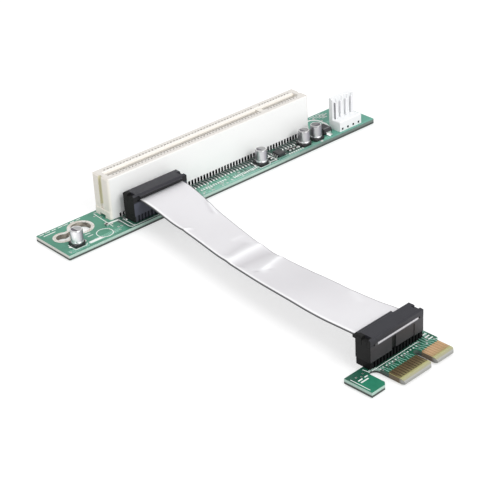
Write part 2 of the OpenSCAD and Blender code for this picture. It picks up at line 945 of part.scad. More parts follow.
main_board();
hole_ring();
pci_socket();
pci_contacts_front();
pci_contacts_rear();
main_header();
main_header_pins();
main_cable_socket();
main_cable_cover();
ribbon_cable();
edge_board();
edge_fingers_top();
edge_fingers_bottom();
edge_header();
edge_header_pins();
edge_cable_socket();
edge_cable_cover();
power_header();
power_pins();
at_can(0) can();  // capacitor_can_1
at_can(1) can();  // capacitor_can_2
at_can(2) can();  // capacitor_can_3
at_can(3) can();  // capacitor_can_4
at_can(0) can_base();  // capacitor_base_1
at_can(1) can_base();  // capacitor_base_2
at_can(2) can_base();  // capacitor_base_3
at_can(3) can_base();  // capacitor_base_4
at_can(0) can_leads();  // capacitor_leads_1
at_can(1) can_leads();  // capacitor_leads_2
at_can(2) can_leads();  // capacitor_leads_3
at_can(3) can_leads();  // capacitor_leads_4
diode_body();
diode_tabs();
regulator_body();
regulator_leads();
chip_bodies();
chip_ends();
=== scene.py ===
"""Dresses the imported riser: two boards, a slot, a creased flat ribbon and small parts.

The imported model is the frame. Places along the long board are given in
millimetres from the slot housing's left end, as the part's source gives them,
and are turned into the frame's metres when a mesh is made.
"""

import math

import bpy
import numpy as np
from bpy.props import FloatProperty, FloatVectorProperty, PointerProperty
from mathutils import Matrix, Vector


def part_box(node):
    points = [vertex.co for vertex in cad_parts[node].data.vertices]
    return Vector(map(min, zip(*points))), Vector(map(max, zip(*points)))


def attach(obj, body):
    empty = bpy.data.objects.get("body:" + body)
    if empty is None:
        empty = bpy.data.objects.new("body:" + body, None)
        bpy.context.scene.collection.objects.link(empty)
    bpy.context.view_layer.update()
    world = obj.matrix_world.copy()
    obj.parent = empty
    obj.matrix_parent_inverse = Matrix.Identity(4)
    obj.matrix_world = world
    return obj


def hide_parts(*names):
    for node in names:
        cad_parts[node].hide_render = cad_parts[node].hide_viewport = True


bl_info = {
    "name": "Slot riser",
    "version": (1, 0, 0),
    "blender": (4, 5, 0),
    "location": "3D View > Sidebar > Riser",
    "description": "Dresses a slot riser with its boards, ribbon, solder and small parts",
    "category": "Object",
}

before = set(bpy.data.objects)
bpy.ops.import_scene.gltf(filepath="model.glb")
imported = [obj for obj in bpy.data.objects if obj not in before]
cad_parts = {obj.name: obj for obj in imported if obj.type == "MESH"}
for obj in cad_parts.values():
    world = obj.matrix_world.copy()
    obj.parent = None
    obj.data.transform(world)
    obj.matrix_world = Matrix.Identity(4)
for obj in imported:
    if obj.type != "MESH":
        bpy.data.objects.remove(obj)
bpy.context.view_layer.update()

MM = 0.001
BODY = "root"
X_AXIS, Y_AXIS, Z_AXIS = np.eye(3).tolist()


def corners(node):
    """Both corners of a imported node's box, in millimetres."""
    return (np.array(corner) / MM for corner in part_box(node))


BOARD_LOW, BOARD_HIGH = corners("main_board")
HOUSING_LOW, HOUSING_HIGH = corners("pci_socket")
FEET_LOW, _ = corners("pci_contacts_front")
POWER_LOW, POWER_HIGH = corners("power_header")
BOARD_TOP = BOARD_HIGH[2]

# The slot housing: its length, slot, end grooves, contact places and key
HOUSING_L = 84.84
SLOT_W = 1.9
GROOVE_W = 1.6
PLACE_X0 = -HOUSING_L / 2
PITCH = 1.27
PLACES = 62
KEY_PLACE = 49

# Its front foot openings, as painted shade darkens them round about: half
# their width, their top over the board, and the first places, which stay as
# they are
FOOT_HALF = 0.46
FOOT_TOP = 1.72
FOOT_SKIPPED = 3

POWER_PITCH = 2.54
POWER_PIN_W = 0.64

# The cable connectors: place on the long board, depth, length, ear, top, and
# from where to where the key slot's painted shade runs on the small board's one
CONN_X, CONN_Y = 14.4, -8.9
CONN_D = 5.2
CONN_L = 21.3
CONN_EAR = 1.6
CONN_TOP = 9.4
KEY_BAND = (-2.1, -0.2)

# The ribbon's height over a board, its play to the side at its first end, and
# its sections along, points across a face and points round a side
RIBBON_Z = 7.25
RIBBON_PLAY = 0.4
RIBBON_STEPS = 360
RIBBON_COLUMNS = 64
RIBBON_ROUND = 5

# The ribbon's soft dip of painted shade (distance, reach and depth), the
# wave of its film (height, length and slant), the run over which creases
# fade at its ends, and the cut end, whose left part is dark
RIBBON_DIP = (68, 10, 0.45)
RIBBON_WAVE = (0.1, 6.1, 2.1)
RIBBON_FADE = 4.0
CUT_RUN = 0.5
CUT_DARK_X = -7.6

# Capacitors: place and turn, radius, top, waist, the direction of the painted
# highlight across the wall, the painted light of each one, half the side of
# its printed outline, and its leads' distance from its middle
CANS = [(-16.2, -8.6, 0), (58.24, -9.3, 0), (77.64, -9.3, 0), (83.24, -9.2, 90)]
CAN_R = 2.0
CAN_TOP = 5.3
CAN_WAIST_Z = 1.35
CAN_SHEEN = (0.75, -0.66, 0.0)
CAN_PAINTED_LIGHT = (0.94, 0.66, 0.56, 0.52)
CAN_PRINT_HALF = 2.5
LEAD_OUT = 2.65
DIODE = (88.34, -7.7)
DIODE_HALF = 2.6

# The card edge board's frame: origin at the key notch on the tab's tip
EDGE_ORIGIN = np.array([PLACE_X0 + 12.1, -128.5, 0.05])
EDGE_TURN = math.radians(2.8)
EDGE_T = 1.57
EDGE_CONN_X, EDGE_CONN_Y = -4.2, 12.1
EDGE_MASK_Y = 5.5
EDGE_BEVEL_Y = 1.9
TAIL_X = -14.0
LONG_FINGERS, SHORT_FINGERS = 11, 7

# Heights over the boards, and how deep a board's faces reach for the paint
PRINT_H = 0.03
TRACE_H = 0.02
VIA_H = 0.035
VIA_HOLE_H = 0.012
FACE_SKIN = 0.03
VIA_SEED = 11

# Lanes of the long board's traces: count, first place across, step, and the
# last contact that has one
LANES = 5
LANE_Y = -8.4
LANE_STEP = 0.6
LAST_TRACE_X = 62

# Lines of print on the long board and on the small one
LONG_LINES = [
    [(-1.3, 3.4), (-1.6, -1.2), (-2.0, -7.6)],
    [(1.8, -5.2), (1.6, -11.2), (2.2, -12.1), (26.6, -12.1), (26.6, -8.2)],
    [(3.1, -6.0), (3.0, -11.3), (3.5, -11.8)],
]
CHIP_OUTLINE = [(60.9, -7.6), (63.6, -7.6), (63.6, -10.8), (60.9, -10.8), (60.9, -7.6)]
EDGE_LINES = [
    [(-14.3, 9.35), (3.7, 9.35), (4.2, 8.9)],
    [(-15.2, 9.4), (-15.6, 11.6)],
    [(-21.1, 4.0), (-21.1, 10.8)],
]
TAIL_BARS = [
    [(-20.2, 8.9), (-18.6, 8.9)],
    [(-17.8, 8.9), (-16.6, 8.9)],
    [(-20.2, 7.9), (-17.4, 7.9)],
]

# Rows of printed bars: from and to where along, place across, a bar's length,
# the gap to the next one and the bars' height
LONG_BARS = [
    (-21.5, -4.0, 4.1, 1.6, 0.7, 0.3),
    (-20.8, -16.0, 2.8, 4.4, 0.5, 0.34),
    *[(-11.4, -9.2, -5.7 - 1.5 * k, 2.0, 0.5, 0.3) for k in range(2)],
    *[(92.6 + 0.8 * k, 99.8, 4.1 - 0.8 * k, 2.4, 0.5, 0.3) for k in range(5)],
    (45.2, 55.6, -10.4, 0.4, 0.4, 1.2),
    (32.0, 43.0, -9.5, 0.5, 0.5, 0.9),
    (69.0, 76.0, -11.2, 0.5, 0.5, 0.7),
]
EDGE_BARS = [
    (-12.5, 3.0, 8.3, 0.45, 0.75, 0.45),
    *[(6.7, 9.0, 8.0 + 1.2 * k, 1.8, 0.5, 0.4) for k in range(3)],
]

# Vias: single ones, fields of scattered ones by their two spans and count, how
# far they keep from a capacitor's middle, and where the chips lie
LONG_VIAS = [(43.8, -10.9), (-20.6, -11.2), (-12.5, 4.2), (-19.0, 4.3)]
VIA_FIELDS = [
    ((27, 88), (-12.0, -8.0), 46),
    ((-4.5, 0.6), (-11.5, 3.8), 12),
    ((86.5, 106.5), (-3.4, 4.2), 22),
]
VIA_KEEP = (3.2, 3.0)
CHIPS_FROM, CHIPS_TO = 63.4, 75.0

# The ribbon's middle line, as the part's source gives it: place along and
# across, height above the long board, turn and tilt of the width in degrees
ROUTE = np.array([
    [14.4, -13.6, 7.2, 0, 0],
    [14.2, -17.9, 6.9, -1.6, -1.6],
    [13.5, -24.2, 6.3, -3, -4],
    [12.6, -30.5, 5.8, -4, -6.6],
    [11.9, -36.9, 5.5, -4.6, -8.9],
    [11.1, -43.3, 5.2, -5.1, -10.4],
    [10.2, -49.7, 5, -5.3, -11.7],
    [9.4, -56.1, 4.9, -5.2, -12.2],
    [8.7, -62.5, 5.1, -4.9, -11.4],
    [8.1, -68.9, 5.4, -4.3, -9.4],
    [7.6, -75.3, 5.7, -3.5, -7.4],
    [7.2, -81.7, 6.1, -2.6, -5.8],
    [6.9, -88.1, 6.4, -1.7, -5],
    [6.6, -94.5, 6.6, -0.5, -4.2],
    [6.6, -100.9, 6.8, 0.8, -2.8],
    [6.9, -107.3, 7, 2, -1.4],
    [7.1, -111.2, 7.2, 2.8, 0],
])

# Creases of the ribbon: distance along it and place across it (-1 to 1) of
# both ends, height in millimetres, and width of the fold's flanks
CREASES = [
    (48.6, -0.95, 42.2, 1.0, 0.46, 2.0),
    (52.4, -0.85, 47.6, 0.97, -0.34, 2.6),
    (58.6, -0.45, 52.4, 0.98, 0.44, 1.5),
    (57.2, -0.66, 58.2, 0.1, -0.34, 0.8),
    (44.8, -0.75, 39.0, 0.6, -0.22, 1.8),
    (36.8, 0.1, 35.0, 0.8, 0.12, 1.2),
    (24.6, -0.98, 25.6, -0.66, 0.34, 0.8),
    (12.6, 0.97, 19.6, 0.74, -0.22, 0.8),
    (13.6, 0.99, 20.8, 0.84, 0.2, 0.6),
    (72.0, -0.2, 66.0, 0.96, -0.1, 3.2),
    (84.0, 0.97, 91.0, 0.6, 0.09, 2.2),
]

# Lamps: name, place, size and power, and the spot that all of them face
LAMPS = [
    ("key", (0.08, -0.98, 0.8), 0.7, 9.1),
    ("top", (0.1, 0.45, 1.1), 0.8, 2.2),
    ("left", (-0.95, -0.3, 0.55), 0.5, 2.3),
]
LAMP_TARGET = (-0.01, -0.05, 0.0)

# The camera's right, down and forward directions, place and focal length
CAMERA_RIGHT = (0.748135, -0.661505, -0.052019)
CAMERA_DOWN = (-0.361852, -0.341012, -0.867626)
CAMERA_FORWARD = (0.5562, 0.667924, -0.49449)
CAMERA_PLACE = (-281.16, -354.88, 230.19)
CAMERA_LENS = 113.46

# Outputs of a Light Path node
CAMERA_RAY, GLOSSY_RAY = 0, 3


# Shader maths


class Value:
    """A shader socket that takes part in Python expressions."""

    def __init__(self, paint, socket):
        self.paint = paint
        self.socket = socket

    def _math(self, operation, *values):
        return self.paint.node("ShaderNodeMath", {"operation": operation}, *values)

    def __add__(self, other):
        return self._math("ADD", self, other)

    def __sub__(self, other):
        return self._math("SUBTRACT", self, other)

    def __rsub__(self, other):
        return self._math("SUBTRACT", other, self)

    def __mul__(self, other):
        return self._math("MULTIPLY", self, other)

    __radd__ = __add__
    __rmul__ = __mul__

    def above(self, limit):
        """1 where the value is more than the limit."""
        return self._math("GREATER_THAN", self, limit)

    def below(self, limit):
        """1 where the value is less than the limit."""
        return self._math("LESS_THAN", self, limit)

    def wave(self):
        """Sine of the value."""
        return self._math("SINE", self)

    def size(self):
        """The value without its sign."""
        return self._math("ABSOLUTE", self)

    def repeat(self, step):
        """The value counted from 0 again after each step."""
        return self._math("FLOORED_MODULO", self, step)

    def between(self, low, high):
        """1 where the value lies between the limits."""
        return self.above(low) * self.below(high)

    def held(self):
        """The value kept between 0 and 1."""
        return self.paint.node("ShaderNodeClamp", {}, self, 0.0, 1.0)

    def rise(self, start, rate=1.0):
        """0 up to the start, then growing to 1 at the rate per millimetre."""
        return ((self - start) * rate).held()

    def fall(self, end, rate=1.0):
        """Falling from 1 to 0 at the rate, and 0 from the end on."""
        return ((end - self) * rate).held()


class Paint:
    """One material: its principled shader, and short calls that add nodes."""

    def __init__(self, name, color, roughness, metallic=0.0):
        self.material = bpy.data.materials.new(name)
        self.material.use_nodes = True
        self.tree = self.material.node_tree
        self.shader = next(n for n in self.tree.nodes if n.type == "BSDF_PRINCIPLED")
        self.material.diffuse_color = (*color, 1.0)
        self.set("Base Color", (*color, 1.0))
        self.set("Roughness", roughness)
        self.set("Metallic", metallic)

    def node(self, kind, settings, *values, out=0):
        """Adds a node, sets its settings, then its sockets in their order."""
        node = self.tree.nodes.new(kind)
        for key, value in settings.items():
            setattr(node, key, value)
        for socket, value in zip([s for s in node.inputs if s.enabled], values):
            self.feed(socket, value)
        return Value(self, [s for s in node.outputs if s.enabled][out])

    def feed(self, socket, value):
        """Gives a socket a link or a constant, or leaves it as it is for None."""
        if isinstance(value, Value):
            self.tree.links.new(value.socket, socket)
        elif value is not None:
            socket.default_value = value

    def set(self, name, value):
        """Feeds a socket of the principled shader."""
        self.feed(self.shader.inputs[name], value)

    def done(self, color, roughness):
        """Sets the colour and the gloss, and gives the paint back."""
        self.set("Base Color", color)
        self.set("Roughness", roughness)
        return self

    def place(self):
        """Object coordinates, in metres."""
        return self.node("ShaderNodeTexCoord", {}, out=3)

    def vector(self, operation, other):
        """Object coordinates joined to another vector by vector maths."""
        return self.node("ShaderNodeVectorMath", {"operation": operation}, self.place(), other)

    def along(self, direction, origin=(0.0, 0.0, 0.0)):
        """Distance from the origin along a direction, in millimetres."""
        start = float(np.dot(direction, origin))
        dot = self.vector("DOT_PRODUCT", tuple(direction))
        return dot * (1 / MM) - start

    def noise(self, scale, detail=2.0, stretch=None):
        """Soft noise from 0 to 1, its scale in features a metre."""
        where = self.vector("MULTIPLY", stretch) if stretch else self.place()
        return self.node("ShaderNodeTexNoise", {}, where, scale, detail)

    def mix(self, factor, first, second):
        """First colour at 0, second at 1."""
        colors = (c if isinstance(c, Value) else (*c, 1.0) for c in (first, second))
        return self.node("ShaderNodeMix", {"data_type": "RGBA"}, factor, *colors)

    def attribute(self, name):
        """A number that the mesh carries at its points."""
        return self.node("ShaderNodeAttribute", {"attribute_name": name}, out=2)

    def bump(self, height, strength):
        """Small relief under the shading, a tenth of a millimetre at most."""
        self.set("Normal", self.node("ShaderNodeBump", {}, strength, 0.1 * MM, None, height))

    def blotches(self, scale, detail, contrast, level):
        """Noise with its contrast raised round its middle, held from 0 to 1."""
        return ((self.noise(scale, detail) - 0.5) * contrast + level).held()


def worn(name, color, roughness, metallic, grain, spread, tint=0.06, relief=0.0):
    """A moulded or plated finish: noise moves its tone and gloss a little."""
    paint = Paint(name, color, roughness, metallic)
    tone = paint.noise(grain, 3.0)
    dark = tuple(c * (1 - tint) for c in color)
    light = tuple(min(c * (1 + tint), 1.0) for c in color)
    if relief:
        paint.bump(paint.noise(grain * 12, 2.0), relief)
    return paint.done(paint.mix(tone, dark, light), tone * spread + (roughness - spread / 2))


def edge_axes():
    """The card edge board's own X and Y directions in the frame."""
    c, s = math.cos(EDGE_TURN), math.sin(EDGE_TURN)
    return (c, s, 0.0), (-s, c, 0.0)


def board_paint(name, low, high, mask_color):
    """Solder mask on the faces and cut laminate, in layers, on the edges."""
    paint = Paint(name, mask_color, 0.3)
    height = paint.along(Z_AXIS)
    face = height.above(high - FACE_SKIN) + height.below(low + FACE_SKIN)
    pour = paint.noise(260.0, 2.0)
    bright = tuple(min(c * 1.35 + 0.02, 1.0) for c in mask_color)
    mask = paint.mix(pour, tuple(c * 0.8 for c in mask_color), bright)
    layers = (height * 26.0).wave() * 0.5 + 0.5
    grain = layers * 0.4 + paint.noise(900.0, 2.0) * 0.4
    cut = paint.mix(grain, (0.34, 0.53, 0.45), (0.6, 0.74, 0.67))
    # Share of a side above its lowest half millimetre; the callers paint contact shade below it
    upper = height.rise(low + 0.5, 3.0)
    return paint, face, mask, cut, upper


def long_board_paint():
    """Green mask with painted shade between the slot's feet, painted shade and
    painted reflection of the black connector round it, painted shade of the
    parts along the front, a painted highlight along the front edge, a pale
    left end, painted shade on the sides low down and towards the right end,
    and a plated wall inside the keyhole."""
    paint, face, mask, cut, upper = board_paint(
        "long_board_mask", BOARD_LOW[2], BOARD_HIGH[2], (0.054, 0.228, 0.154)
    )
    x = paint.along(X_AXIS, (BOARD_LOW[0], 0.0, 0.0))
    y = paint.along(Y_AXIS)
    from_slot = x - (HOUSING_LOW[0] - BOARD_LOW[0])
    # Painted shade of the housing on the board between its front feet
    feet = y.rise(FEET_LOW[1] - 0.4, 1.4) * y.below(HOUSING_LOW[1] + 0.5)
    feet = feet * from_slot.between(1.0, HOUSING_L - 1.0)
    mask = paint.mix(feet * 0.8, mask, (0.025, 0.05, 0.042))
    # Painted shade and painted reflection of the black connector on the board round it
    near = from_slot.rise(0.5) * from_slot.fall(26.0) * y.fall(-5.6)
    mask = paint.mix(near * 0.7, mask, (0.02, 0.055, 0.045))
    # Painted shade of the capacitors and chips on the front strip, broken up by noise
    front = from_slot.rise(44.0, 0.1) * from_slot.fall(84.0, 0.1)
    front = front * y.fall(FEET_LOW[1] + 0.6, 1.2) * (0.5 + paint.noise(700.0, 2.0))
    mask = paint.mix(front.held(), mask, (0.012, 0.04, 0.032))
    # Painted highlight along the board's front edge, right of the connector
    rim = y.fall(BOARD_LOW[1] + 1.1, 4.0) * from_slot.above(26.0) * 0.6
    mask = paint.mix(rim, mask, (0.24, 0.48, 0.4))
    right = from_slot.rise(HOUSING_L, 0.3) * 0.75
    mask = paint.mix(right, mask, (0.11, 0.36, 0.28))
    weave = paint.noise(1500.0, 3.0)
    pale = paint.mix(weave, (0.62, 0.64, 0.58), (0.84, 0.85, 0.8))
    # Painted shade on the cut sides, growing towards the right end
    cut = paint.mix(from_slot.rise(58.0, 0.04) * 0.85, cut, (0.1, 0.13, 0.12))
    cut = paint.mix(x.below(0.05), cut, pale)
    # Painted contact shade on the lowest half millimetre of the sides
    cut = paint.mix(upper, (0.05, 0.055, 0.05), cut)
    hole = x.above(0.4) * from_slot.below(0.0)
    hole = hole * y.between(BOARD_LOW[1] + 0.4, BOARD_HIGH[1] - 0.4)
    patchy = paint.blotches(700.0, 3.0, 3.0, 0.4)
    plated = paint.mix(patchy, (0.12, 0.105, 0.085), (0.44, 0.4, 0.34))
    cut = paint.mix(hole, cut, plated)
    return paint.done(paint.mix(face, cut, mask), face * -0.3 + 0.6)


def ring_paint():
    """Tinned copper round the keyhole, pitted and freckled brown."""
    paint = Paint("tinned_ring", (0.86, 0.83, 0.8), 0.5, 0.85)
    fine = paint.blotches(2600.0, 3.0, 5.0, 0.35)
    wide = paint.blotches(520.0, 2.0, 4.0, 0.4)
    tin = paint.mix(wide, (0.93, 0.93, 0.9), (0.82, 0.77, 0.71))
    paint.bump(fine, 0.2)
    return paint.done(paint.mix(fine * 0.45, tin, (0.42, 0.36, 0.3)), fine * 0.2 + 0.42)


def edge_board_paint():
    """As the long board, with bare laminate over the card edge's tabs, and painted
    shade round the connector, in the notches, between the long tab's fingers
    and on the sides low down.
    """
    low = EDGE_ORIGIN[2]
    paint, face, mask, cut, upper = board_paint(
        "edge_board_mask", low, low + EDGE_T, (0.012, 0.17, 0.098)
    )
    across, deep = edge_axes()
    y = paint.along(deep, EDGE_ORIGIN)
    x = paint.along(across, EDGE_ORIGIN)
    # Painted shade of the connector on the board round and behind it, and over the tail
    under = y.above(8.6) * x.above(TAIL_X - 1.0) + y.rise(7.5, 0.5) * x.below(TAIL_X - 0.9)
    mask = paint.mix(under.held() * 0.75, mask, (0.012, 0.05, 0.035))
    front = y.above(EDGE_MASK_Y) * x.above(TAIL_X) * (0.6 + paint.noise(420.0, 2.0) * 0.3)
    mask = paint.mix(front, mask, (0.012, 0.085, 0.05))
    masked = (y.above(EDGE_MASK_Y) + x.below(TAIL_X)).held()
    weave = paint.noise(1500.0, 3.0)
    tip = y.fall(EDGE_BEVEL_Y, 0.8)
    resin = paint.mix(weave, (0.3, 0.28, 0.1), (0.44, 0.42, 0.2))
    chalk = paint.mix(weave, (0.37, 0.37, 0.2), (0.5, 0.5, 0.32))
    beyond = y.above(EDGE_BEVEL_Y)
    # Painted shade between the long tab's fingers, beside the gold's painted reflection
    resin = paint.mix(beyond * x.between(-11.4, -0.6), resin, (0.045, 0.033, 0.016))
    resin = paint.mix(beyond * x.above(0.4), resin, (0.4, 0.27, 0.15))
    bare = paint.mix(tip, resin, chalk)
    inner = y.rise(1.2)
    high = paint.along(Z_AXIS).above(low + EDGE_T * 0.84)
    end_cut = paint.mix(high, (0.36, 0.36, 0.34), (0.35, 0.34, 0.22))
    bare_cut = paint.mix(inner, end_cut, (0.16, 0.12, 0.08))
    # Painted shade on the walls of the key notch and of the tail's neck
    notch = y.below(EDGE_MASK_Y + 2.2) * x.between(-1.2, 1.8)
    neck = y.below(EDGE_MASK_Y + 3.0) * x.between(TAIL_X - 0.4, -10.6)
    cut = paint.mix((notch + neck).held(), cut, (0.07, 0.12, 0.1))
    face_color = paint.mix(masked, bare, mask)
    cut_color = paint.mix(masked, bare_cut, cut)
    # Painted contact shade on the lowest half millimetre of the sides, less on the bare tabs
    upper = (upper + (1.0 - masked) * 0.75).held()
    cut_color = paint.mix(upper, (0.06, 0.065, 0.06), cut_color)
    paint.set("Specular IOR Level", 0.3)
    return paint.done(paint.mix(face, cut_color, face_color), face * -0.25 + 0.58)


def housing_paint():
    """Ivory thermoplastic with painted shade: darker and warmer on top and at
    its ends, most at the left one, in the end grooves, round the front foot
    openings and, near black, inside.
    """
    paint = Paint("slot_housing", (0.86, 0.85, 0.82), 0.42)
    top = HOUSING_HIGH[2]
    height = paint.along(Z_AXIS)
    across = paint.along(Y_AXIS).size()
    along = paint.along(X_AXIS).size()
    upper = height.rise(top - 0.5, 2.0)
    left = paint.along(X_AXIS).below(0.0)
    # Painted shade at both ends, most at the left one
    ends = along.rise(HOUSING_HIGH[0] - 1.2, 1.2) * (left * 0.6 + 0.4)
    flow = paint.noise(90.0, 3.0)
    base = paint.mix(flow, (0.92, 0.925, 0.92), (0.95, 0.95, 0.94))
    outer = paint.mix(ends, base, (0.88, 0.83, 0.76))
    # Painted shade in the end grooves, below the top
    groove_shade = across.below(GROOVE_W / 2 + 0.03) * along.above(HOUSING_HIGH[0] - 1.3)
    groove_shade = groove_shade * height.above(BOARD_TOP + 4.0)
    outer = paint.mix(groove_shade * (1.0 - upper), outer, (0.74, 0.7, 0.52))
    # Painted shade, darker and warmer, on the top
    outer = paint.mix(upper * 0.85, outer, (0.67, 0.635, 0.59))
    # Painted shade inside: darker deep in the slot, near black low by the feet
    within = across.below(HOUSING_HIGH[1] - 0.06) * height.below(top - 0.3)
    inside = within * along.below(HOUSING_HIGH[0] - 1.4)
    foot = height.fall(BOARD_TOP + 3.4, 1.2)
    slot = across.below(SLOT_W / 2 + 0.75)
    deep = height.fall(top - 1.3, 1.6)
    well = paint.mix(deep, (0.8, 0.76, 0.7), (0.22, 0.19, 0.17))
    hollow = paint.mix(slot, (0.16, 0.13, 0.11), well)
    hollow = paint.mix(foot, hollow, (0.012, 0.012, 0.014))
    # Painted shade round each front foot opening, from the board up
    places = paint.along(X_AXIS, (-PITCH * PLACES / 2, 0.0, 0.0))
    step = places.repeat(PITCH)
    shade = (step - PITCH / 2).size().fall(FOOT_HALF, 12.0)
    shade = shade * height.fall(BOARD_TOP + FOOT_TOP, 5.0) * along.below(HOUSING_HIGH[0] - 2.4)
    shade = shade * places.above(PITCH * FOOT_SKIPPED)
    outer = paint.mix(shade, outer, (0.012, 0.012, 0.014))
    paint.bump(paint.noise(2400.0, 2.0), 0.05)
    return paint.done(paint.mix(inside, outer, hollow), flow * 0.12 + 0.36)


def slot_contact_paint():
    """Tinned strip on the feet and at the slot's mouth, dark within the
    housing, where no light reaches it."""
    paint = Paint("slot_contact", (0.6, 0.59, 0.57), 0.34, 1.0)
    wear = paint.noise(500.0, 3.0)
    height = paint.along(Z_AXIS)
    within = paint.along(Y_AXIS).size().below(HOUSING_HIGH[1] + 0.06)
    deep = within * height.below(HOUSING_HIGH[2] - 2.5)
    strip = paint.mix(wear, (0.36, 0.36, 0.37), (0.52, 0.52, 0.52))
    return paint.done(paint.mix(deep, strip, (0.02, 0.02, 0.022)), wear * 0.14 + 0.3)


def ribbon_paint():
    """Silvery sheath: pale film on both faces, dark glued sides, painted
    highlights on the crease ridges and along the left edge, and painted shade
    in the crease hollows.
    """
    paint = Paint("ribbon_film", (0.72, 0.71, 0.73), 0.3)
    side = paint.attribute("side")
    crease_highlight = paint.attribute("crease_highlight")
    drift = paint.noise(55.0, 3.0)
    film = paint.mix(drift, (0.69, 0.675, 0.7), (0.77, 0.765, 0.785))
    # Painted shade in the crease hollows and along the soft dip
    film = paint.mix(paint.attribute("shade"), film, (0.6, 0.585, 0.61))
    # Painted highlight on the crease ridges
    film = paint.mix(crease_highlight, film, (0.95, 0.95, 0.97))
    # Painted highlight along the left edge
    film = paint.mix(paint.attribute("left"), film, (0.95, 0.95, 0.96))
    paint.set("Metallic", 0.12)
    paint.bump(paint.noise(1100.0, 3.0), 0.08)
    return paint.done(paint.mix(side, film, (0.075, 0.075, 0.08)), drift * 0.16 + 0.3)


def gold_paint():
    """Gold with wiped streaks, brown on the long tab as a painted reflection of
    the black connector, greener at the tips.
    """
    paint = Paint("finger_gold", (0.83, 0.57, 0.26), 0.24, 1.0)
    wipe = paint.noise(500.0, 3.0, (1.0, 0.15, 1.0))
    across, deep = edge_axes()
    long_tab = paint.along(across, EDGE_ORIGIN).below(0.0)
    root = paint.along(deep, EDGE_ORIGIN).fall(3.4, 0.6) * 0.5
    bright = paint.mix(wipe, (0.76, 0.46, 0.22), (0.94, 0.64, 0.4))
    # Painted reflection of the black connector on the long tab
    brown = paint.mix(wipe, (0.14, 0.1, 0.05), (0.24, 0.17, 0.09))
    color = paint.mix(long_tab, bright, brown)
    paint.set("Metallic", 1.0 - long_tab * 0.5)
    return paint.done(paint.mix(root, color, (0.4, 0.38, 0.16)), wipe * 0.18 + 0.16)


def can_paint(place, bright):
    """Rolled aluminium round one can: painted shade to its left and a painted
    highlight right of its middle, painted shade on its lid, fine drawing marks
    and a bright band at the waist."""
    paint = Paint("rolled_aluminium", (0.6, 0.59, 0.63), 0.3, 1.0)
    x, y, _ = place
    centre = (x + PLACE_X0, y, BOARD_TOP)
    height = paint.along(Z_AXIS, centre)
    waist = 1.0 - (height - CAN_WAIST_Z).size().rise(0.0, 3.0)
    # Painted highlight and shade across the wall, along CAN_SHEEN
    round_it = (paint.along(CAN_SHEEN, centre) * (0.5 / CAN_R) + 0.5).held()
    marks = paint.noise(1800.0, 2.0, (0.05, 0.05, 1.0))
    tone = (round_it * 5.2 - 0.6).wave() * 0.42 + 0.44
    # The can's painted light sets its bright tone
    light = tuple(bright * c for c in (0.99, 0.99, 1.0))
    wall = paint.mix((tone + marks * 0.2).held(), (0.22, 0.21, 0.25), light)
    # Painted shade on the lid
    lid = height.above(CAN_TOP - 0.25)
    wall = paint.mix(lid, wall, tuple(0.66 * c for c in light))
    return paint.done(paint.mix(waist, wall, (0.93, 0.93, 0.94)), marks * 0.14 + 0.26)


def connector_paint(name, origin, axes, lip_side, dark, light):
    """Black plastic: its own tone below and greyer on the cover, with painted
    shade under the lip, at the left end, in the left ear's recess and in the
    key slot, and a painted glint at the ribbon's seam."""
    paint = Paint(name, (0.05, 0.055, 0.075), 0.42)
    x, y, height = (paint.along(axis, origin) for axis in (*axes, Z_AXIS))
    end = x.below(0.15 - CONN_L / 2)
    recess = x.below(CONN_EAR - 0.1 - CONN_L / 2) * y.above(-2.0)
    out = y * lip_side
    seam = height.between(RIBBON_Z - 0.5, RIBBON_Z + 0.25) * out.above(0.0)
    lip = out.above(CONN_D / 2 - 0.1) * height.between(RIBBON_Z, CONN_TOP - 0.45)
    # Painted shade at the left end, in the left ear's recess, in the seam under the lip and on its
    # face
    left = (end + recess * height.above(RIBBON_Z) + (seam + lip) * 0.75).held()
    # Painted glint of the ribbon's cut end along the front face
    glint = out.below(0.15 - CONN_D / 2) * (height - RIBBON_Z).size().fall(0.46, 4.0)
    glint = glint * x.between(-7.6, 8.4)
    drift = paint.noise(300.0, 3.0)
    lower = paint.mix(drift, dark, light)
    # Painted shade on the cover, darker than the body below
    cover = paint.mix(drift, (0.02, 0.02, 0.026), (0.03, 0.03, 0.037))
    body = paint.mix(height.above(RIBBON_Z), lower, cover)
    if lip_side > 0:
        # Painted shade in the key slot
        band = x.between(*KEY_BAND) * height.below(RIBBON_Z - 0.7)
        body = paint.mix(band * out.below(0.0), body, (0.006, 0.006, 0.007))
    body = paint.mix(left, body, (0.004, 0.004, 0.004))
    paint.set("Specular IOR Level", 0.32)
    return paint.done(
        paint.mix(glint, body, (0.42, 0.42, 0.48)),
        left * 0.3 + drift * 0.12 + 0.36,
    )


def comb_paint(name, color, gloss, origin, across):
    """Plastic of a pin header's strip, black at its left end with painted shade."""
    paint = Paint(name, color, 0.5)
    drift = paint.noise(300.0, 3.0)
    body = paint.mix(drift, *(tuple(c * share for c in color) for share in (0.75, 1.2)))
    # Painted shade at the left end
    end = paint.along(across, origin).below(0.6 - CONN_L / 2)
    paint.set("Specular IOR Level", gloss)
    return paint.done(paint.mix(end, body, (0.004, 0.004, 0.004)), drift * 0.1 + 0.45)


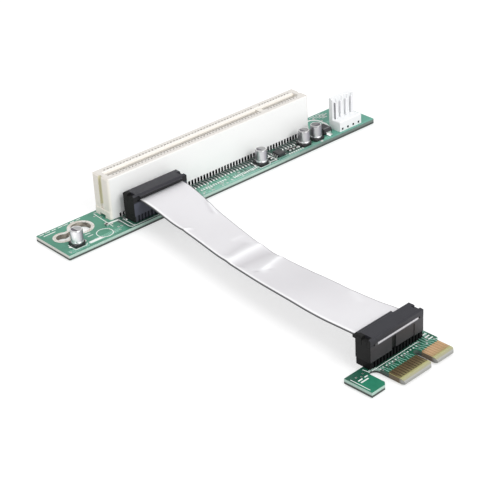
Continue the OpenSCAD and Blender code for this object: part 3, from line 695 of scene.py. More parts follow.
def header_paint():
    """White plastic, with painted shade inside the small openings of its front."""
    paint = Paint("header_white", (0.86, 0.87, 0.88), 0.38)
    y = paint.along(Y_AXIS, (0.0, POWER_LOW[1], 0.0))
    height = paint.along(Z_AXIS, (0.0, 0.0, BOARD_TOP))
    x = paint.along(X_AXIS, ((POWER_LOW[0] + POWER_HIGH[0]) / 2, 0.0, 0.0)).size()
    # Painted shade inside the front openings
    vent = y.between(0.06, 1.4) * height.between(0.3, 1.35)
    vent = vent * x.below((POWER_HIGH[0] - POWER_LOW[0]) / 2 - 0.1)
    drift = paint.noise(200.0, 3.0)
    body = paint.mix(drift, (0.84, 0.85, 0.86), (0.88, 0.89, 0.9))
    return paint.done(paint.mix(vent, body, (0.02, 0.03, 0.025)), drift * 0.1 + 0.34)


def power_pin_paint():
    """Bright tin with a line of painted shade down the left side of each square
    pin, darkest on the first one.
    """
    paint = Paint("tinned_pin", (0.86, 0.86, 0.88), 0.4, 0.15)
    start = POWER_LOW[0] + POWER_PITCH / 2 - POWER_PIN_W / 2 - 0.05
    x = paint.along(X_AXIS, (start, 0.0, 0.0))
    line = x.repeat(POWER_PITCH)
    wear = paint.noise(500.0, 3.0)
    body = paint.mix(wear, (0.86, 0.86, 0.88), (0.93, 0.93, 0.95))
    # Painted shade down the left side, darkest on the first pin
    first = x.below(POWER_PITCH / 2)
    tone = paint.mix(first, (0.88, 0.88, 0.9), (0.24, 0.24, 0.26))
    return paint.done(paint.mix(line.below(0.14), body, tone), wear * 0.12 + 0.36)


# Plain finishes: the material's name, colour, roughness and metal, the noise's
# scale, how far it moves the gloss and the tone, and its relief
PLAIN = dict(
    tin=("dull_tin", (0.9, 0.84, 0.8), 0.46, 1.0, 1500.0, 0.24, 0.3),
    solder=("solder", (0.9, 0.9, 0.89), 0.36, 1.0, 900.0, 0.2, 0.08),
    pin=("shaded_pin", (0.05, 0.05, 0.052), 0.4, 1.0, 500.0, 0.1, 0.2),
    base=("base_black", (0.012, 0.012, 0.013), 0.38, 0.0, 400.0, 0.1, 0.2),
    moulded=("epoxy_black", (0.03, 0.03, 0.033), 0.48, 0.0, 900.0, 0.14, 0.3, 0.1),
    ceramic=("chip_ceramic", (0.05, 0.045, 0.042), 0.5, 0.0, 900.0, 0.1, 0.15),
    band=("band_grey", (0.16, 0.16, 0.17), 0.5, 0.0, 900.0, 0.1, 0.2),
    silk=("print_white", (0.8, 0.82, 0.8), 0.55, 0.0, 1500.0, 0.1, 0.05),
    trace=("mask_over_copper", (0.28, 0.55, 0.45), 0.28, 0.0, 400.0, 0.1, 0.24),
    # A via's hole: a dark disc of painted shade
    hole=("plated_hole", (0.02, 0.05, 0.035), 0.5, 0.0, 900.0, 0.1, 0.2),
    mark=("can_mark", (0.1, 0.09, 0.11), 0.4, 0.0, 900.0, 0.1, 0.2),
)
PAINTS = {}


def make_paints():
    """Makes every finish once, under the name that the pieces ask for."""
    main = (PLACE_X0 + CONN_X, CONN_Y, BOARD_TOP)
    edge = on_edge([[EDGE_CONN_X, EDGE_CONN_Y, 0.0]])[0]
    PAINTS.update(
        long_board=long_board_paint(),
        edge_board=edge_board_paint(),
        ring=ring_paint(),
        housing=housing_paint(),
        ribbon=ribbon_paint(),
        gold=gold_paint(),
        # One part in two tones: the main connector lighter and bluer as painted light, the edge
        # one darker as painted shade
        main_conn=connector_paint(
            "main_connector_black", main, (X_AXIS, Y_AXIS), -1,
            (0.052, 0.057, 0.08), (0.074, 0.08, 0.106),
        ),
        edge_conn=connector_paint(
            "edge_connector_black", edge, edge_axes(), 1,
            (0.036, 0.034, 0.038), (0.05, 0.047, 0.052),
        ),
        white=header_paint(),
        slot_contact=slot_contact_paint(),
        # The headers' strips too: the main one painted light, the edge one near black as painted
        # shade
        main_comb=comb_paint("comb_lit_grey", (0.055, 0.06, 0.078), 0.3, main, X_AXIS),
        edge_comb=comb_paint("comb_shaded_black", (0.006, 0.006, 0.007), 0.1, edge, edge_axes()[0]),
        power_pin=power_pin_paint(),
    )
    PAINTS.update({f"can_{k}": can_paint(*c) for k, c in enumerate(zip(CANS, CAN_PAINTED_LIGHT), 1)})
    PAINTS.update({name: worn(*values) for name, values in PLAIN.items()})


# Mesh building


def new_object(name, data):
    """An object for the data, linked at the scene's origin."""
    made = bpy.data.objects.new(name, data)
    bpy.context.scene.collection.objects.link(made)
    return made


def add_piece(name, points, faces, paint, smooth=True, numbers=None):
    """One mesh object from points in millimetres and rows of corner numbers."""
    mesh = bpy.data.meshes.new(name)
    points = np.asarray(points, float) * MM
    mesh.from_pydata(points.tolist(), [], [list(f) for f in faces])
    for key, values in (numbers or {}).items():
        layer = mesh.attributes.new(key, "FLOAT", "POINT")
        layer.data.foreach_set("value", np.asarray(values, np.float32))
    mesh.polygons.foreach_set("use_smooth", [smooth] * len(mesh.polygons))
    mesh.materials.append(PAINTS[paint].material)
    mesh.validate()
    mesh.update()
    piece = new_object(name, mesh)
    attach(piece, BODY)
    return piece


def lay(name, shape, board, paint, smooth=False):
    """Adds a shape, points and faces, that is given in a board's places."""
    points, faces = shape
    return add_piece(name, board(points), faces, paint, smooth)


def join_parts(parts):
    """Stacks (points, faces) pairs, each faces array moved past the last points."""
    points, faces, start = [], [], 0
    for p, f in parts:
        points.append(p)
        faces.extend((np.asarray(f) + start).tolist())
        start += len(p)
    return np.concatenate(points), faces


def copies(points, faces, places):
    """The same small mesh at each place, as one pair of arrays."""
    places = np.atleast_2d(np.asarray(places, float))
    spread = (points[None, :, :] + places[:, None, :]).reshape(-1, 3)
    steps = np.arange(len(places))[:, None, None] * len(points)
    return spread, (np.asarray(faces)[None, :, :] + steps).reshape(-1, len(faces[0]))


def wall(low, high, closed=True):
    """Four-cornered faces between two rows of point numbers, which go on from
    the last point to the first one where the rows are closed."""
    faces = np.stack([low, np.roll(low, -1), np.roll(high, -1), high], 1)
    return faces if closed else faces[:-1]


def dome(rx, ry, height, sides=12, rings=4):
    """Half of an ellipsoid on Z = 0: x = rx cos t cos a, y = ry cos t sin a,
    z = height sin t, with its pole and its floor closed by small fans."""
    t = np.linspace(0, math.pi / 2, rings + 1)[:-1]
    a = np.arange(sides) * 2 * math.pi / sides
    flat = np.cos(t)[:, None]
    ring = [rx * flat * np.cos(a), ry * flat * np.sin(a)]
    ring = np.stack([*ring, height * np.sin(t)[:, None] * np.ones(sides)], axis=2)
    points = np.vstack([ring.reshape(-1, 3), [[0, 0, height], [0, 0, 0]]])
    i = np.arange(sides)
    j = (i + 1) % sides
    walls = np.concatenate([wall(k * sides + i, (k + 1) * sides + i) for k in range(rings - 1)])
    top = (rings - 1) * sides
    cap = np.stack([top + i, top + j, np.full(sides, rings * sides)], 1)
    floor = np.stack([j, i, np.full(sides, rings * sides + 1)], 1)
    return points, np.concatenate([walls[:, [0, 1, 2]], walls[:, [0, 2, 3]], cap, floor])


def washer(r_in, r_out, height, sides):
    """A flat ring of square section: four circles joined in a closed loop."""
    a = np.arange(sides) * 2 * math.pi / sides
    around = np.stack([np.cos(a), np.sin(a)], 1)
    loop = [(r_out, 0.0), (r_out, height), (r_in, height), (r_in, 0.0)]
    points = [np.column_stack([r * around, np.full(sides, z)]) for r, z in loop]
    i = np.arange(sides)
    faces = [wall(k * sides + i, (k + 1) % 4 * sides + i) for k in range(4)]
    return np.concatenate(points), np.concatenate(faces)


def disc(r, height, sides, start=0.0, sweep=2 * math.pi):
    """A flat disc, or a segment of one cut by its chord, with a wall."""
    whole = abs(sweep - 2 * math.pi) < 1e-6
    a = start + np.linspace(0, sweep, sides, endpoint=not whole)
    flat = np.stack([r * np.cos(a), r * np.sin(a)], 1)
    middle = flat.mean(0)
    n = len(flat)
    points = [np.column_stack([flat, np.full(n, z)]) for z in (0.0, height)]
    points = np.vstack([*points, [[*middle, 0.0], [*middle, height]]])
    i = np.arange(n)
    j = (i + 1) % n
    rows = [(i, j, n + j), (i, n + j, n + i)]
    rows += [(n + i, n + j, np.full(n, 2 * n + 1)), (j, i, np.full(n, 2 * n))]
    return points, np.concatenate([np.stack(row, 1) for row in rows])


def block(low, high):
    """A box between two corners, its six faces outwards."""
    x, y, z = (np.array([low[k], high[k]]) for k in range(3))
    points = np.array([[x[i], y[j], z[k]] for k in (0, 1) for j in (0, 1) for i in (0, 1)])
    faces = np.array(
        [[0, 2, 3, 1], [4, 5, 7, 6], [0, 1, 5, 4], [2, 6, 7, 3], [0, 4, 6, 2], [1, 3, 7, 5]]
    )
    return points, faces


def track(line, width, height):
    """A flat strip along a line of points: each point moves half the width to
    both sides along the mean of its neighbours' normals, and the section is
    closed by a wall round it."""
    line = np.asarray(line, float)
    step = np.diff(line, axis=0)
    step /= np.linalg.norm(step, axis=1)[:, None]
    normal = np.stack([-step[:, 1], step[:, 0]], 1)
    bend = np.vstack([normal[:1], (normal[:-1] + normal[1:]) / 2, normal[-1:]])
    bend /= (bend**2).sum(1)[:, None]
    left, right = line + bend * width / 2, line - bend * width / 2
    n = len(line)
    loop = [(right, 0.0), (right, height), (left, height), (left, 0.0)]
    points = [np.column_stack([side, np.full(n, z)]) for side, z in loop]
    i = np.arange(n)
    faces = [wall(k * n + i, (k + 1) % 4 * n + i, closed=False) for k in range(4)]
    ends = np.array([[0, n, 2 * n, 3 * n], [4 * n - 1, 3 * n - 1, 2 * n - 1, n - 1]])
    return np.concatenate(points), np.concatenate([*faces, ends])


def tracks(lines, width, height):
    """Several strips as one mesh."""
    return join_parts([track(line, width, height) for line in lines])


def arc(centre, radii, start, end, steps):
    """Points of an ellipse's arc: the centre plus the radii times cos a and
    sin a, while a runs from start to end in degrees."""
    a = np.radians(np.linspace(start, end, steps))
    return (np.array(centre) + np.stack([np.cos(a), np.sin(a)], 1) * radii).tolist()


def on_long(points):
    """Moves points from the long board's places to the frame."""
    return np.array(points, float) + np.array([PLACE_X0, 0.0, BOARD_TOP])


def on_edge(points):
    """Turns and moves points from the card edge board's top to the frame."""
    turn = np.array([*edge_axes(), Z_AXIS])
    return np.array(points, float) @ turn + EDGE_ORIGIN + np.array([0.0, 0.0, EDGE_T])


def contact_places():
    """Places of the slot's contacts along the long board, without the key's."""
    i = np.array([k for k in range(PLACES) if k not in (KEY_PLACE, KEY_PLACE + 1)])
    return HOUSING_L / 2 + (i - (PLACES - 1) / 2) * PITCH


def dress(node, paint, bevel=0.0, split=None):
    """Paints a CAD node, and softens its edges by a small bevel where given."""
    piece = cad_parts[node]
    piece.data.materials.clear()
    piece.data.materials.append(PAINTS[paint].material)
    if not bevel and not split:
        return
    piece.data.polygons.foreach_set("use_smooth", [True] * len(piece.data.polygons))
    weld = piece.modifiers.new("weld", "WELD")
    weld.merge_threshold = 0.000002
    if bevel:
        soft = piece.modifiers.new("soft_edges", "BEVEL")
        soft.width = bevel * MM
        soft.segments = 2
        soft.limit_method = "ANGLE"
        soft.angle_limit = math.radians(30)
        soft.use_clamp_overlap = True
        even = piece.modifiers.new("even_faces", "WEIGHTED_NORMAL")
        even.keep_sharp = True
    else:
        sharp = piece.modifiers.new("sharp_edges", "EDGE_SPLIT")
        sharp.split_angle = math.radians(split)
        sharp.use_edge_sharp = False


# Sizes and colours that a user would change


class RibbonSettings(bpy.types.PropertyGroup):
    width: FloatProperty(
        name="Width", description="Width of the flat ribbon in millimetres",
        default=17.2, min=15, max=17.6,
    )
    thickness: FloatProperty(
        name="Thickness", description="Thickness of the ribbon in millimetres",
        default=0.46, min=0.3, max=0.5,
    )
    crease: FloatProperty(
        name="Creases", description="How strongly the ribbon is creased",
        default=1.0, min=0, max=2, subtype="FACTOR",
    )


class BoardSettings(bpy.types.PropertyGroup):
    trace_width: FloatProperty(
        name="Trace width", description="Width of a copper trace in millimetres",
        default=0.2, min=0.1, max=0.4,
    )
    print_width: FloatProperty(
        name="Print width", description="Width of a printed line in millimetres",
        default=0.26, min=0.1, max=0.5,
    )
    via_radius: FloatProperty(
        name="Via radius", description="Outer radius of a via's ring in millimetres",
        default=0.34, min=0.2, max=0.6,
    )


class StageSettings(bpy.types.PropertyGroup):
    floor_size: FloatProperty(
        name="Floor size", description="Side of the floor",
        default=6.0, min=1, max=20, unit="LENGTH",
    )
    floor_drop: FloatProperty(
        name="Floor drop", description="Gap between the boards and the floor",
        default=0.0003, min=0.00002, max=0.002, unit="LENGTH",
    )
    floor_color: FloatVectorProperty(
        name="Floor colour", description="Colour of the floor",
        default=(0.5, 0.5, 0.5), subtype="COLOR", min=0, max=1,
    )
    floor_glow: FloatProperty(
        name="Floor lift", description="White that the camera sees besides the light",
        default=0.55, min=0, max=1, subtype="FACTOR",
    )
    world_light: FloatProperty(
        name="World light", description="Strength of the even light",
        default=0.64, min=0, max=2,
    )


class RISER_OT_boards(bpy.types.Operator):
    """Paints both boards, ring and fingers, and lays traces, vias and plain print"""

    bl_idname = "riser.boards"
    bl_label = "Boards"

    def execute(self, context):
        settings = context.scene.riser_board
        dress("main_board", "long_board")
        dress("edge_board", "edge_board")
        dress("hole_ring", "ring")
        dress("edge_fingers_top", "gold")
        dress("edge_fingers_bottom", "gold")
        long_traces(settings)
        edge_traces(settings)
        printed_lines(settings)
        vias(settings)
        return {"FINISHED"}


def long_traces(settings):
    """Traces from the front feet: each runs forward, bends by 45 degrees and
    follows its own lane to the left. Others cross the board's two ends."""
    lines = []
    for k, x in enumerate(contact_places()):
        lane = k % LANES
        y = LANE_Y - LANE_STEP * lane
        if CONN_X + 12 <= x <= LAST_TRACE_X:
            lines.append([(x, -7.4), (x, y + 0.5), (x - 0.5, y), (x - (2.4 + 1.1 * lane), y)])
    for k in range(3):
        x, y = 55 + 9 * k, -11.3 - 0.45 * k
        lines.append([(27 + 3 * k, y), (x, y), (x + 0.6, y + 0.4), (88, y + 0.4)])
    for k in range(4):
        y = -11.9 + 0.5 * k
        lines.append([(-21.2, y), (-14.4 + k, y), (-13.6 + k, y + 0.6), (-2.6 + k, y + 0.6)])
    for k in range(4):
        x, y = POWER_LOW[0] - PLACE_X0 + POWER_PITCH * (k + 0.5), -3.8 + 0.5 * k
        lines.append([(x, -6.3), (x, y - 0.8), (x - 0.8, y), (86.8, y)])
    lay("long_board_traces", tracks(lines, settings.trace_width, TRACE_H), on_long, "trace")


def edge_traces(settings):
    """Traces that run from the fingers back to the header, and at the right."""
    lines = []
    for k in range(LONG_FINGERS):
        x = -1.65 - k
        jog = 0.3 * (k % 3 - 1)
        lines.append([(x, 5.6), (x, 6.4), (x + jog, 7.0), (x + jog, 9.0)])
    for k in range(SHORT_FINGERS):
        x = 1.65 + k
        lines.append([(x, 5.6), (x, 6.6), (x - 0.5, 7.4), (x - 0.5, 10.6)])
    for k in range(4):
        y = 9.9 + 0.6 * k
        lines.append([(6.9, y), (8.0, y), (8.5, y + 0.4), (9.0, y + 0.4)])
    lay("edge_board_traces", tracks(lines, settings.trace_width, TRACE_H), on_edge, "trace")


def dashes(x0, x1, y, size, gap, height):
    """Plain filled bars in a row, all alike."""
    y0, y1 = y - height / 2, y + height / 2
    return [
        block((x, y0, 0.0), (x + size, y1, PRINT_H)) for x in np.arange(x0, x1 - size, size + gap)
    ]


def printed_lines(settings):
    """Plain white outlines, bars and dashes, as a board's print has them."""
    w, h = settings.print_width, CAN_PRINT_HALF
    lines = LONG_LINES + [
        [(x - h, y + h - 1), (x - h, y - h), (x + h - 1, y - h), (x + h, y - h + 1)]
        for x, y, _ in CANS[:2]
    ]
    lines += [arc((-6.2, -9.0), (2.6, 2.6), 0, 360, 33), CHIP_OUTLINE]
    bars = [bar for row in LONG_BARS for bar in dashes(*row)]
    lay("long_board_print", join_parts([tracks(lines, w, PRINT_H), *bars]), on_long, "silk")
    latch = arc((90.6, -0.6), (3.0, 3.4), 95, -12, 12) + [(93.5, -3.2), (93.0, -5.0)]
    thick = tracks([latch, [(-1.7, -5.1), (1.8, -5.4)]], 3.2 * w, PRINT_H)
    broad = tracks([[(-13.2, -10.6), (-8.0, -10.7)]], 4.4 * w, PRINT_H)
    lay("long_board_bars", join_parts([thick, broad]), on_long, "silk")
    bars = [bar for row in EDGE_BARS for bar in dashes(*row)]
    lines = tracks(EDGE_LINES, 0.8 * w, PRINT_H)
    lay("edge_board_print", join_parts([lines, *bars]), on_edge, "silk")
    lay("edge_board_bars", tracks(TAIL_BARS, 1.6 * w, PRINT_H), on_edge, "silk")


def lay_vias(name, spots, outer, inner, board):
    """A ring of tin and a dark disc of painted shade for the hole inside it at
    each spot of one board.
    """
    places = np.column_stack([np.array(spots), np.zeros(len(spots))])
    rings = copies(*washer(inner, outer, VIA_H, 12), places)
    lay(f"{name}_vias", rings, board, "tin")
    lay(f"{name}_via_holes", copies(*disc(inner, VIA_HOLE_H, 12), places), board, "hole")


def vias(settings):
    """Vias where the tables put them and scattered by a fixed seed, but none
    under a capacitor, the chips or the diode."""
    rng = np.random.default_rng(VIA_SEED)
    r = settings.via_radius
    spots = list(LONG_VIAS)
    for along, across, count in VIA_FIELDS:
        for x, y in zip(rng.uniform(*along, count).tolist(), rng.uniform(*across, count).tolist()):
            gaps = np.abs(np.array(CANS)[:, :2] - (x, y))
            under_can = (gaps < VIA_KEEP).all(1).any()
            if not (under_can or CHIPS_FROM < x < CHIPS_TO or abs(x - DIODE[0]) < DIODE_HALF):
                spots.append((x, y))
    lay_vias("long_board", spots, r, r * 0.5, on_long)
    spots = [(-2.1 - k, 7.5 + 0.5 * (k % 2)) for k in range(LONG_FINGERS)]
    spots += [(1.9 + k, 7.0 + 0.9 * (k % 3)) for k in range(SHORT_FINGERS)]
    spots += [(-19.4 + 1.3 * k, 10.4 - 0.7 * (k % 2)) for k in range(3)]
    lay_vias("edge_board", spots, r * 0.85, r * 0.45, on_edge)


class RISER_OT_slot(bpy.types.Operator):
    """Paints the slot housing and its contacts, and solders the front feet"""

    bl_idname = "riser.slot"
    bl_label = "Slot"

    def execute(self, context):
        dress("pci_socket", "housing")
        dress("pci_contacts_front", "slot_contact")
        dress("pci_contacts_rear", "slot_contact")
        toes = [(x, FEET_LOW[1] - 0.1, 0.0) for x in contact_places()]
        joints = copies(*dome(0.32, 0.5, 0.32), toes)
        lay("slot_solder", joints, on_long, "solder", True)
        return {"FINISHED"}


class RISER_OT_connectors(bpy.types.Operator):
    """Paints both cable connectors and their pin headers"""

    bl_idname = "riser.connectors"
    bl_label = "Cable connectors"

    def execute(self, context):
        for end in ("main", "edge"):
            dress(f"{end}_header", f"{end}_comb")
            dress(f"{end}_header_pins", "pin")
            dress(f"{end}_cable_socket", f"{end}_conn", 0.14)
            dress(f"{end}_cable_cover", f"{end}_conn", 0.14)
        return {"FINISHED"}


class RISER_OT_ribbon(bpy.types.Operator):
    """Builds the creased ribbon along the route of the CAD cable"""

    bl_idname = "riser.ribbon"
    bl_label = "Ribbon"

    def execute(self, context):
        points, faces, numbers = ribbon_surface(context.scene.riser_ribbon)
        piece = add_piece("ribbon", points, faces, "ribbon", numbers=numbers)
        sharp = piece.modifiers.new("sharp_edges", "EDGE_SPLIT")
        sharp.split_angle = math.radians(60)
        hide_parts("ribbon_cable")
        return {"FINISHED"}


def ribbon_stations():
    """Middle points, turns and tilts of the ribbon in the frame, with the two
    straight runs through the connectors."""
    main = [[PLACE_X0 + CONN_X + RIBBON_PLAY, CONN_Y + s * CONN_D / 2, BOARD_TOP + RIBBON_Z, 0, 0]
            for s in (1, -1)]
    route = ROUTE + np.array([PLACE_X0, 0, BOARD_TOP, 0, 0])
    route[:, 0] += RIBBON_PLAY * np.clip(1 - np.arange(len(route)) / 4, 0, 1)
    ends = on_edge([[EDGE_CONN_X, EDGE_CONN_Y + s * CONN_D / 2, RIBBON_Z] for s in (1, -1)])
    turn = math.degrees(EDGE_TURN)
    edge = [[*p, turn, 0] for p in ends]
    return np.vstack([main, route, edge])


def ribbon_course():
    """A chain of cubic curves through the stations. Across follows from the
    turn and tilt at each step, and up stands at right angles to it and to the
    curve. The distances along it are given back first."""
    stations = ribbon_stations()
    gaps = np.linalg.norm(np.diff(stations[:, :3], axis=0), axis=1)
    dist = np.concatenate([[0], np.cumsum(gaps)])
    s = np.linspace(0, dist[-1], RIBBON_STEPS)
    slope = np.gradient(stations, dist, axis=0)
    k = np.clip(np.searchsorted(dist, s, side="right") - 1, 0, len(dist) - 2)
    h = gaps[k][:, None]
    t = ((s - dist[k]) / gaps[k])[:, None]
    curve = (
        (2 * t**3 - 3 * t**2 + 1) * stations[k]
        + (t**3 - 2 * t**2 + t) * h * slope[k]
        + (-2 * t**3 + 3 * t**2) * stations[k + 1]
        + (t**3 - t**2) * h * slope[k + 1]
    )
    turn, tilt = np.radians(curve[:, 3:]).T
    level = np.cos(tilt)
    across = np.stack([np.cos(turn) * level, np.sin(turn) * level, np.sin(tilt)], 1)
    along = np.gradient(curve[:, :3], s, axis=0)
    along /= np.linalg.norm(along, axis=1)[:, None]
    up = np.cross(along, across)
    up *= np.sign(up[:, 2:3])
    up /= np.linalg.norm(up, axis=1)[:, None]
    return s, dist, curve[:, None, :3], across[:, None, :], up[:, None, :]


def ribbon_section(half_w, half_t, inset):
    """Share of the half width, x and z round a flat section whose sides are
    half ellipses, as wide as the inset."""
    flat, edge = np.linspace(-1, 1, RIBBON_COLUMNS), half_w - inset
    a = np.linspace(-math.pi / 2, math.pi / 2, RIBBON_ROUND + 2)[1:-1]
    level, bow = np.ones(RIBBON_COLUMNS) * half_t, inset * np.cos(a)
    w = np.concatenate([flat, np.ones(RIBBON_ROUND), flat[::-1], -np.ones(RIBBON_ROUND)])
    x = np.concatenate([flat * edge, edge + bow, flat[::-1] * edge, -edge - bow])
    z = np.concatenate([-level, half_t * np.sin(a), level, -half_t * np.sin(a)])
    return w, x, z


def smooth_step(value):
    """3 v v - 2 v v v of the value held between 0 and 1."""
    value = np.clip(value, 0, 1)
    return value * value * (3 - 2 * value)


def creased(run, w, half_w, strength):
    """Lift, painted highlight and painted shade at each point. A crease lifts the
    film by its height times a bell curve of the distance from the crease's
    line, fading at the line's two ends, and a soft wave runs over the whole
    film."""
    lift = np.zeros((len(run), len(w)))
    crease_highlight, shade = np.zeros_like(lift), np.zeros_like(lift)
    for s0, w0, s1, w1, height, flank in CREASES:
        start = np.array([s0, w0 * half_w])
        axis = np.array([s1, w1 * half_w]) - start
        reach = np.linalg.norm(axis)
        axis /= reach
        ds, dw = run[:, None] - start[0], (w * half_w)[None, :] - start[1]
        far = ds * axis[0] + dw * axis[1]
        off = ds * axis[1] - dw * axis[0]
        fade = smooth_step(np.minimum(far + 1.2, reach + 1.2 - far) / 2.4)
        bell = np.exp(-np.abs(off / flank) ** 1.5) * fade
        lift += height * strength * bell
        # Painted highlight on the ridges, painted shade in the hollows
        crease_highlight = np.maximum(crease_highlight, np.clip(height * 2.4, 0, 1) * bell**2)
        shade = np.maximum(shade, np.clip(-height * 3.0, 0, 1) * bell)
    middle, spread, depth = RIBBON_DIP
    shade = np.maximum(shade, depth * np.exp(-(((run - middle) / spread) ** 2))[:, None])
    height, length, slant = RIBBON_WAVE
    lift += height * np.sin(run / length)[:, None] * np.sin(w * slant + 0.6)[None, :]
    return lift, crease_highlight, shade


def ribbon_faces(n, m):
    """Walls between n sections of m points, and two end caps on points of
    their own: strips of four-cornered faces, with one face at each side."""
    rows = np.arange(n)[:, None] * m + np.arange(m)
    walls = np.concatenate([wall(low, high) for low, high in zip(rows, rows[1:])])
    faces = walls[:, ::-1].tolist()
    low = np.arange(RIBBON_COLUMNS)
    high = m - RIBBON_ROUND - 1 - low
    cap = [[a, b, d, c] for a, b, c, d in zip(low, low[1:], high, high[1:])]
    cap += [list(range(low[-1], high[-1] + 1)), [*range(high[0], m), 0]]
    faces += [[n * m + int(k) for k in face] for face in cap]
    return faces + [[(n + 1) * m + int(k) for k in reversed(face)] for face in cap]


def ribbon_surface(settings):
    """A flat section is laid across the course at each step and lifted by the
    creases, which fade out before the two connectors."""
    s, dist, middle, across, up = ribbon_course()
    half_w, half_t = settings.width / 2, settings.thickness / 2
    inset = half_t * 0.6
    w, x, z = ribbon_section(half_w, half_t, inset)
    run = s - dist[1]
    free = smooth_step(np.minimum(run, dist[-2] - dist[1] - run) / RIBBON_FADE)[:, None]
    lift, crease_highlight, shade = creased(run, w, half_w, settings.crease)
    lift = lift * free
    points = middle + x[None, :, None] * across + (z + lift)[:, :, None] * up
    n, m = lift.shape
    tail, dark = s > dist[-1] - CUT_RUN, x < CUT_DARK_X
    side = np.tile((np.abs(x) > half_w - inset * 1.01).astype(float), (n, 1))
    side[np.ix_(tail, dark)] = 1.0
    crease_highlight = crease_highlight * free
    shade = shade * free * (1 - crease_highlight)
    # Painted highlight along the left edge, weak on the last half millimetre
    left = np.exp(-(((x + half_w - 0.7) / 0.45) ** 2))[None, :] * 0.8 * np.ones((n, 1))
    left[tail] = 0.2
    points = np.concatenate([points, points[:1], points[-1:]])
    side = np.vstack([side, side[:1], dark[None, :].astype(float)])
    crease_highlight, shade, left = (np.vstack([v, v[:1], v[-1:]]) for v in (crease_highlight, shade, left))
    # The far cut end gets painted shade and no painted edge highlight
    shade[-1], left[-1] = 0.8, 0.0
    numbers = {"side": side, "crease_highlight": crease_highlight, "shade": shade, "left": left}
    numbers = {name: values.reshape(-1) for name, values in numbers.items()}
    return points.reshape(-1, 3), ribbon_faces(n, m), numbers


class RISER_OT_power(bpy.types.Operator):
    """Paints the power header and its pins"""

    bl_idname = "riser.power"
    bl_label = "Power header"

    def execute(self, context):
        dress("power_header", "white", 0.12)
        dress("power_pins", "power_pin", 0.08)
        return {"FINISHED"}


class RISER_OT_capacitors(bpy.types.Operator):
    """Paints the capacitors, marks their tops and solders their leads"""

    bl_idname = "riser.capacitors"
    bl_label = "Capacitors"

    def execute(self, context):
        tops, joints, rim_highlights = [], [], []
        for k, (x, y, turn) in enumerate(CANS, 1):
            dress(f"capacitor_can_{k}", f"can_{k}", split=30)
            dress(f"capacitor_base_{k}", "base", 0.1)
            dress(f"capacitor_leads_{k}", "solder")
            a = math.radians(turn)
            mark = disc(1.55, 0.02, 20, a + math.radians(110), math.radians(150))
            tops.append(copies(*mark, (x, y, CAN_TOP)))
            # A thin ring on each lid's rim, its brightness a painted highlight
            rim_highlights.append(copies(*washer(1.58, 1.82, 0.07, 28), (x, y, CAN_TOP - 0.03)))
            lead = np.array([math.cos(a), math.sin(a), 0]) * LEAD_OUT
            joints.append(copies(*dome(0.62, 0.62, 0.3, 14), [(x, y, 0) + lead, (x, y, 0) - lead]))
        lay("capacitor_marks", join_parts(tops), on_long, "mark")
        lay("capacitor_rim_highlights", join_parts(rim_highlights), on_long, "solder")
        lay("capacitor_solder", join_parts(joints), on_long, "solder", True)
        return {"FINISHED"}


class RISER_OT_small_parts(bpy.types.Operator):
    """Paints the diode, the regulator and the chip parts, with their solder"""

    bl_idname = "riser.small_parts"
    bl_label = "Small parts"

    def execute(self, context):
        dress("diode_body", "moulded", 0.08)
        dress("diode_tabs", "solder")
        dress("regulator_body", "moulded", 0.05)
        dress("regulator_leads", "solder")
        dress("chip_bodies", "ceramic")
        dress("chip_ends", "solder", 0.04)
        x, y = DIODE
        band = block((x - 1.6, y - 1.75, 2.2), (x + 1.6, y - 1.2, 2.215))
        lay("diode_band", band, on_long, "band")
        joints = copies(*dome(1.05, 0.7, 0.5, 14), [(x, y + s * 2.9, 0) for s in (1, -1)])
        lay("diode_solder", joints, on_long, "solder", True)
        return {"FINISHED"}


class RISER_OT_stage(bpy.types.Operator):
    """Sets the pale floor, the soft lamps, the world and the camera"""

    bl_idname = "riser.stage"
    bl_label = "Stage"

    def execute(self, context):
        settings = context.scene.riser_stage
        floor = make_floor(settings)
        for name, place, size, power in LAMPS:
            make_lamp(name, place, size, power)
        make_world(settings)
        make_camera()
        context.scene.view_settings.view_transform = "Standard"
        return {"FINISHED"}


def make_floor(settings):
    """A square floor that the camera and glossy rays see a little lighter."""
    h, z = settings.floor_size / 2, -settings.floor_drop
    mesh = bpy.data.meshes.new("floor")
    mesh.from_pydata([(-h, -h, z), (h, -h, z), (h, h, z), (-h, h, z)], [], [(0, 1, 2, 3)])
    paint = Paint("floor", settings.floor_color, 0.35)
    seen, glossy = (paint.node("ShaderNodeLightPath", {}, out=k) for k in (CAMERA_RAY, GLOSSY_RAY))
    either = paint.node("ShaderNodeMath", {"operation": "MAXIMUM"}, seen, glossy)
    paint.set("Emission Strength", either * settings.floor_glow)
    paint.set("Emission Color", (1.0, 1.0, 1.0, 1.0))
    paint.set("Specular IOR Level", 0.35)
    mesh.materials.append(paint.material)
    return new_object("floor", mesh)


def aim(thing, place, axes):
    """Puts a lamp or camera at a place, its own axes along the given ones."""
    turn = Matrix(np.column_stack(axes).tolist()).to_4x4()
    turn.translation = place
    thing.matrix_world = turn
    return thing


def make_lamp(name, place, size, power):
    """A square soft lamp aimed at the middle of the object."""
    light = bpy.data.lights.new(name, "AREA")
    light.shape = "SQUARE"
    light.size = size
    light.energy = power
    back = np.array(place) - np.array(LAMP_TARGET)
    back /= np.linalg.norm(back)
    side = np.cross(Z_AXIS, back)
    side /= np.linalg.norm(side)
    return aim(new_object(name, light), place, (side, np.cross(back, side), back))


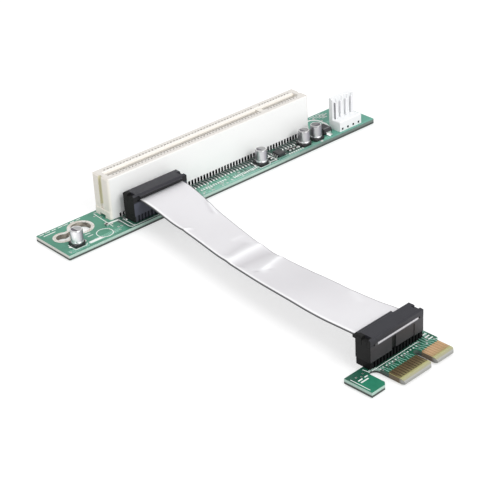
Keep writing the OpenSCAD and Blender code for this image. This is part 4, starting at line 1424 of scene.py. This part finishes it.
def make_world(settings):
    """Even white light from all round, and plain white for the camera."""
    world = bpy.data.worlds.new("studio")
    world.use_nodes = True
    tree = world.node_tree
    sky = next(n for n in tree.nodes if n.type == "BACKGROUND")
    seen = tree.nodes.new("ShaderNodeLightPath")
    mix = tree.nodes.new("ShaderNodeMix")
    mix.data_type = "FLOAT"
    mix.inputs[2].default_value = settings.world_light
    mix.inputs[3].default_value = 1.0
    tree.links.new(seen.outputs[CAMERA_RAY], mix.inputs[0])
    tree.links.new(mix.outputs[0], sky.inputs["Strength"])
    sky.inputs["Color"].default_value = (1.0, 1.0, 1.0, 1.0)
    bpy.context.scene.world = world


def make_camera():
    """The camera that was fitted to the photograph, from its three directions."""
    data = bpy.data.cameras.new("camera")
    data.lens = CAMERA_LENS
    data.sensor_width = 36.0
    data.clip_start = 0.01
    data.clip_end = 20.0
    right, down, forward = np.array([CAMERA_RIGHT, CAMERA_DOWN, CAMERA_FORWARD])
    place = [c * MM for c in CAMERA_PLACE]
    bpy.context.scene.camera = aim(new_object("camera", data), place, (right, -down, -forward))


class RISER_PT_panel(bpy.types.Panel):
    """Lists the riser's pieces and their sizes"""

    bl_idname = "RISER_PT_panel"
    bl_label = "Slot riser"
    bl_space_type = "VIEW_3D"
    bl_region_type = "UI"
    bl_category = "Riser"

    def draw(self, context):
        for settings in ("riser_board", "riser_ribbon", "riser_stage"):
            group = getattr(context.scene, settings)
            for key in group.__annotations__:
                self.layout.prop(group, key)
        for operator in OPERATORS:
            self.layout.operator(operator.bl_idname)


SETTINGS = {
    "riser_board": BoardSettings,
    "riser_ribbon": RibbonSettings,
    "riser_stage": StageSettings,
}
OPERATORS = (
    RISER_OT_boards,
    RISER_OT_slot,
    RISER_OT_connectors,
    RISER_OT_ribbon,
    RISER_OT_power,
    RISER_OT_capacitors,
    RISER_OT_small_parts,
    RISER_OT_stage,
)


def register():
    for cls in (*SETTINGS.values(), *OPERATORS, RISER_PT_panel):
        bpy.utils.register_class(cls)
    for name, cls in SETTINGS.items():
        setattr(bpy.types.Scene, name, PointerProperty(type=cls))


def unregister():
    for name in SETTINGS:
        delattr(bpy.types.Scene, name)
    for cls in (RISER_PT_panel, *reversed(OPERATORS), *SETTINGS.values()):
        bpy.utils.unregister_class(cls)


def main():
    """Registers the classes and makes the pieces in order."""
    register()
    make_paints()
    for operator in OPERATORS:
        area, name = operator.bl_idname.split(".")
        getattr(getattr(bpy.ops, area), name)()
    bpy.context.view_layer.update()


if __name__ == "__main__":
    main()
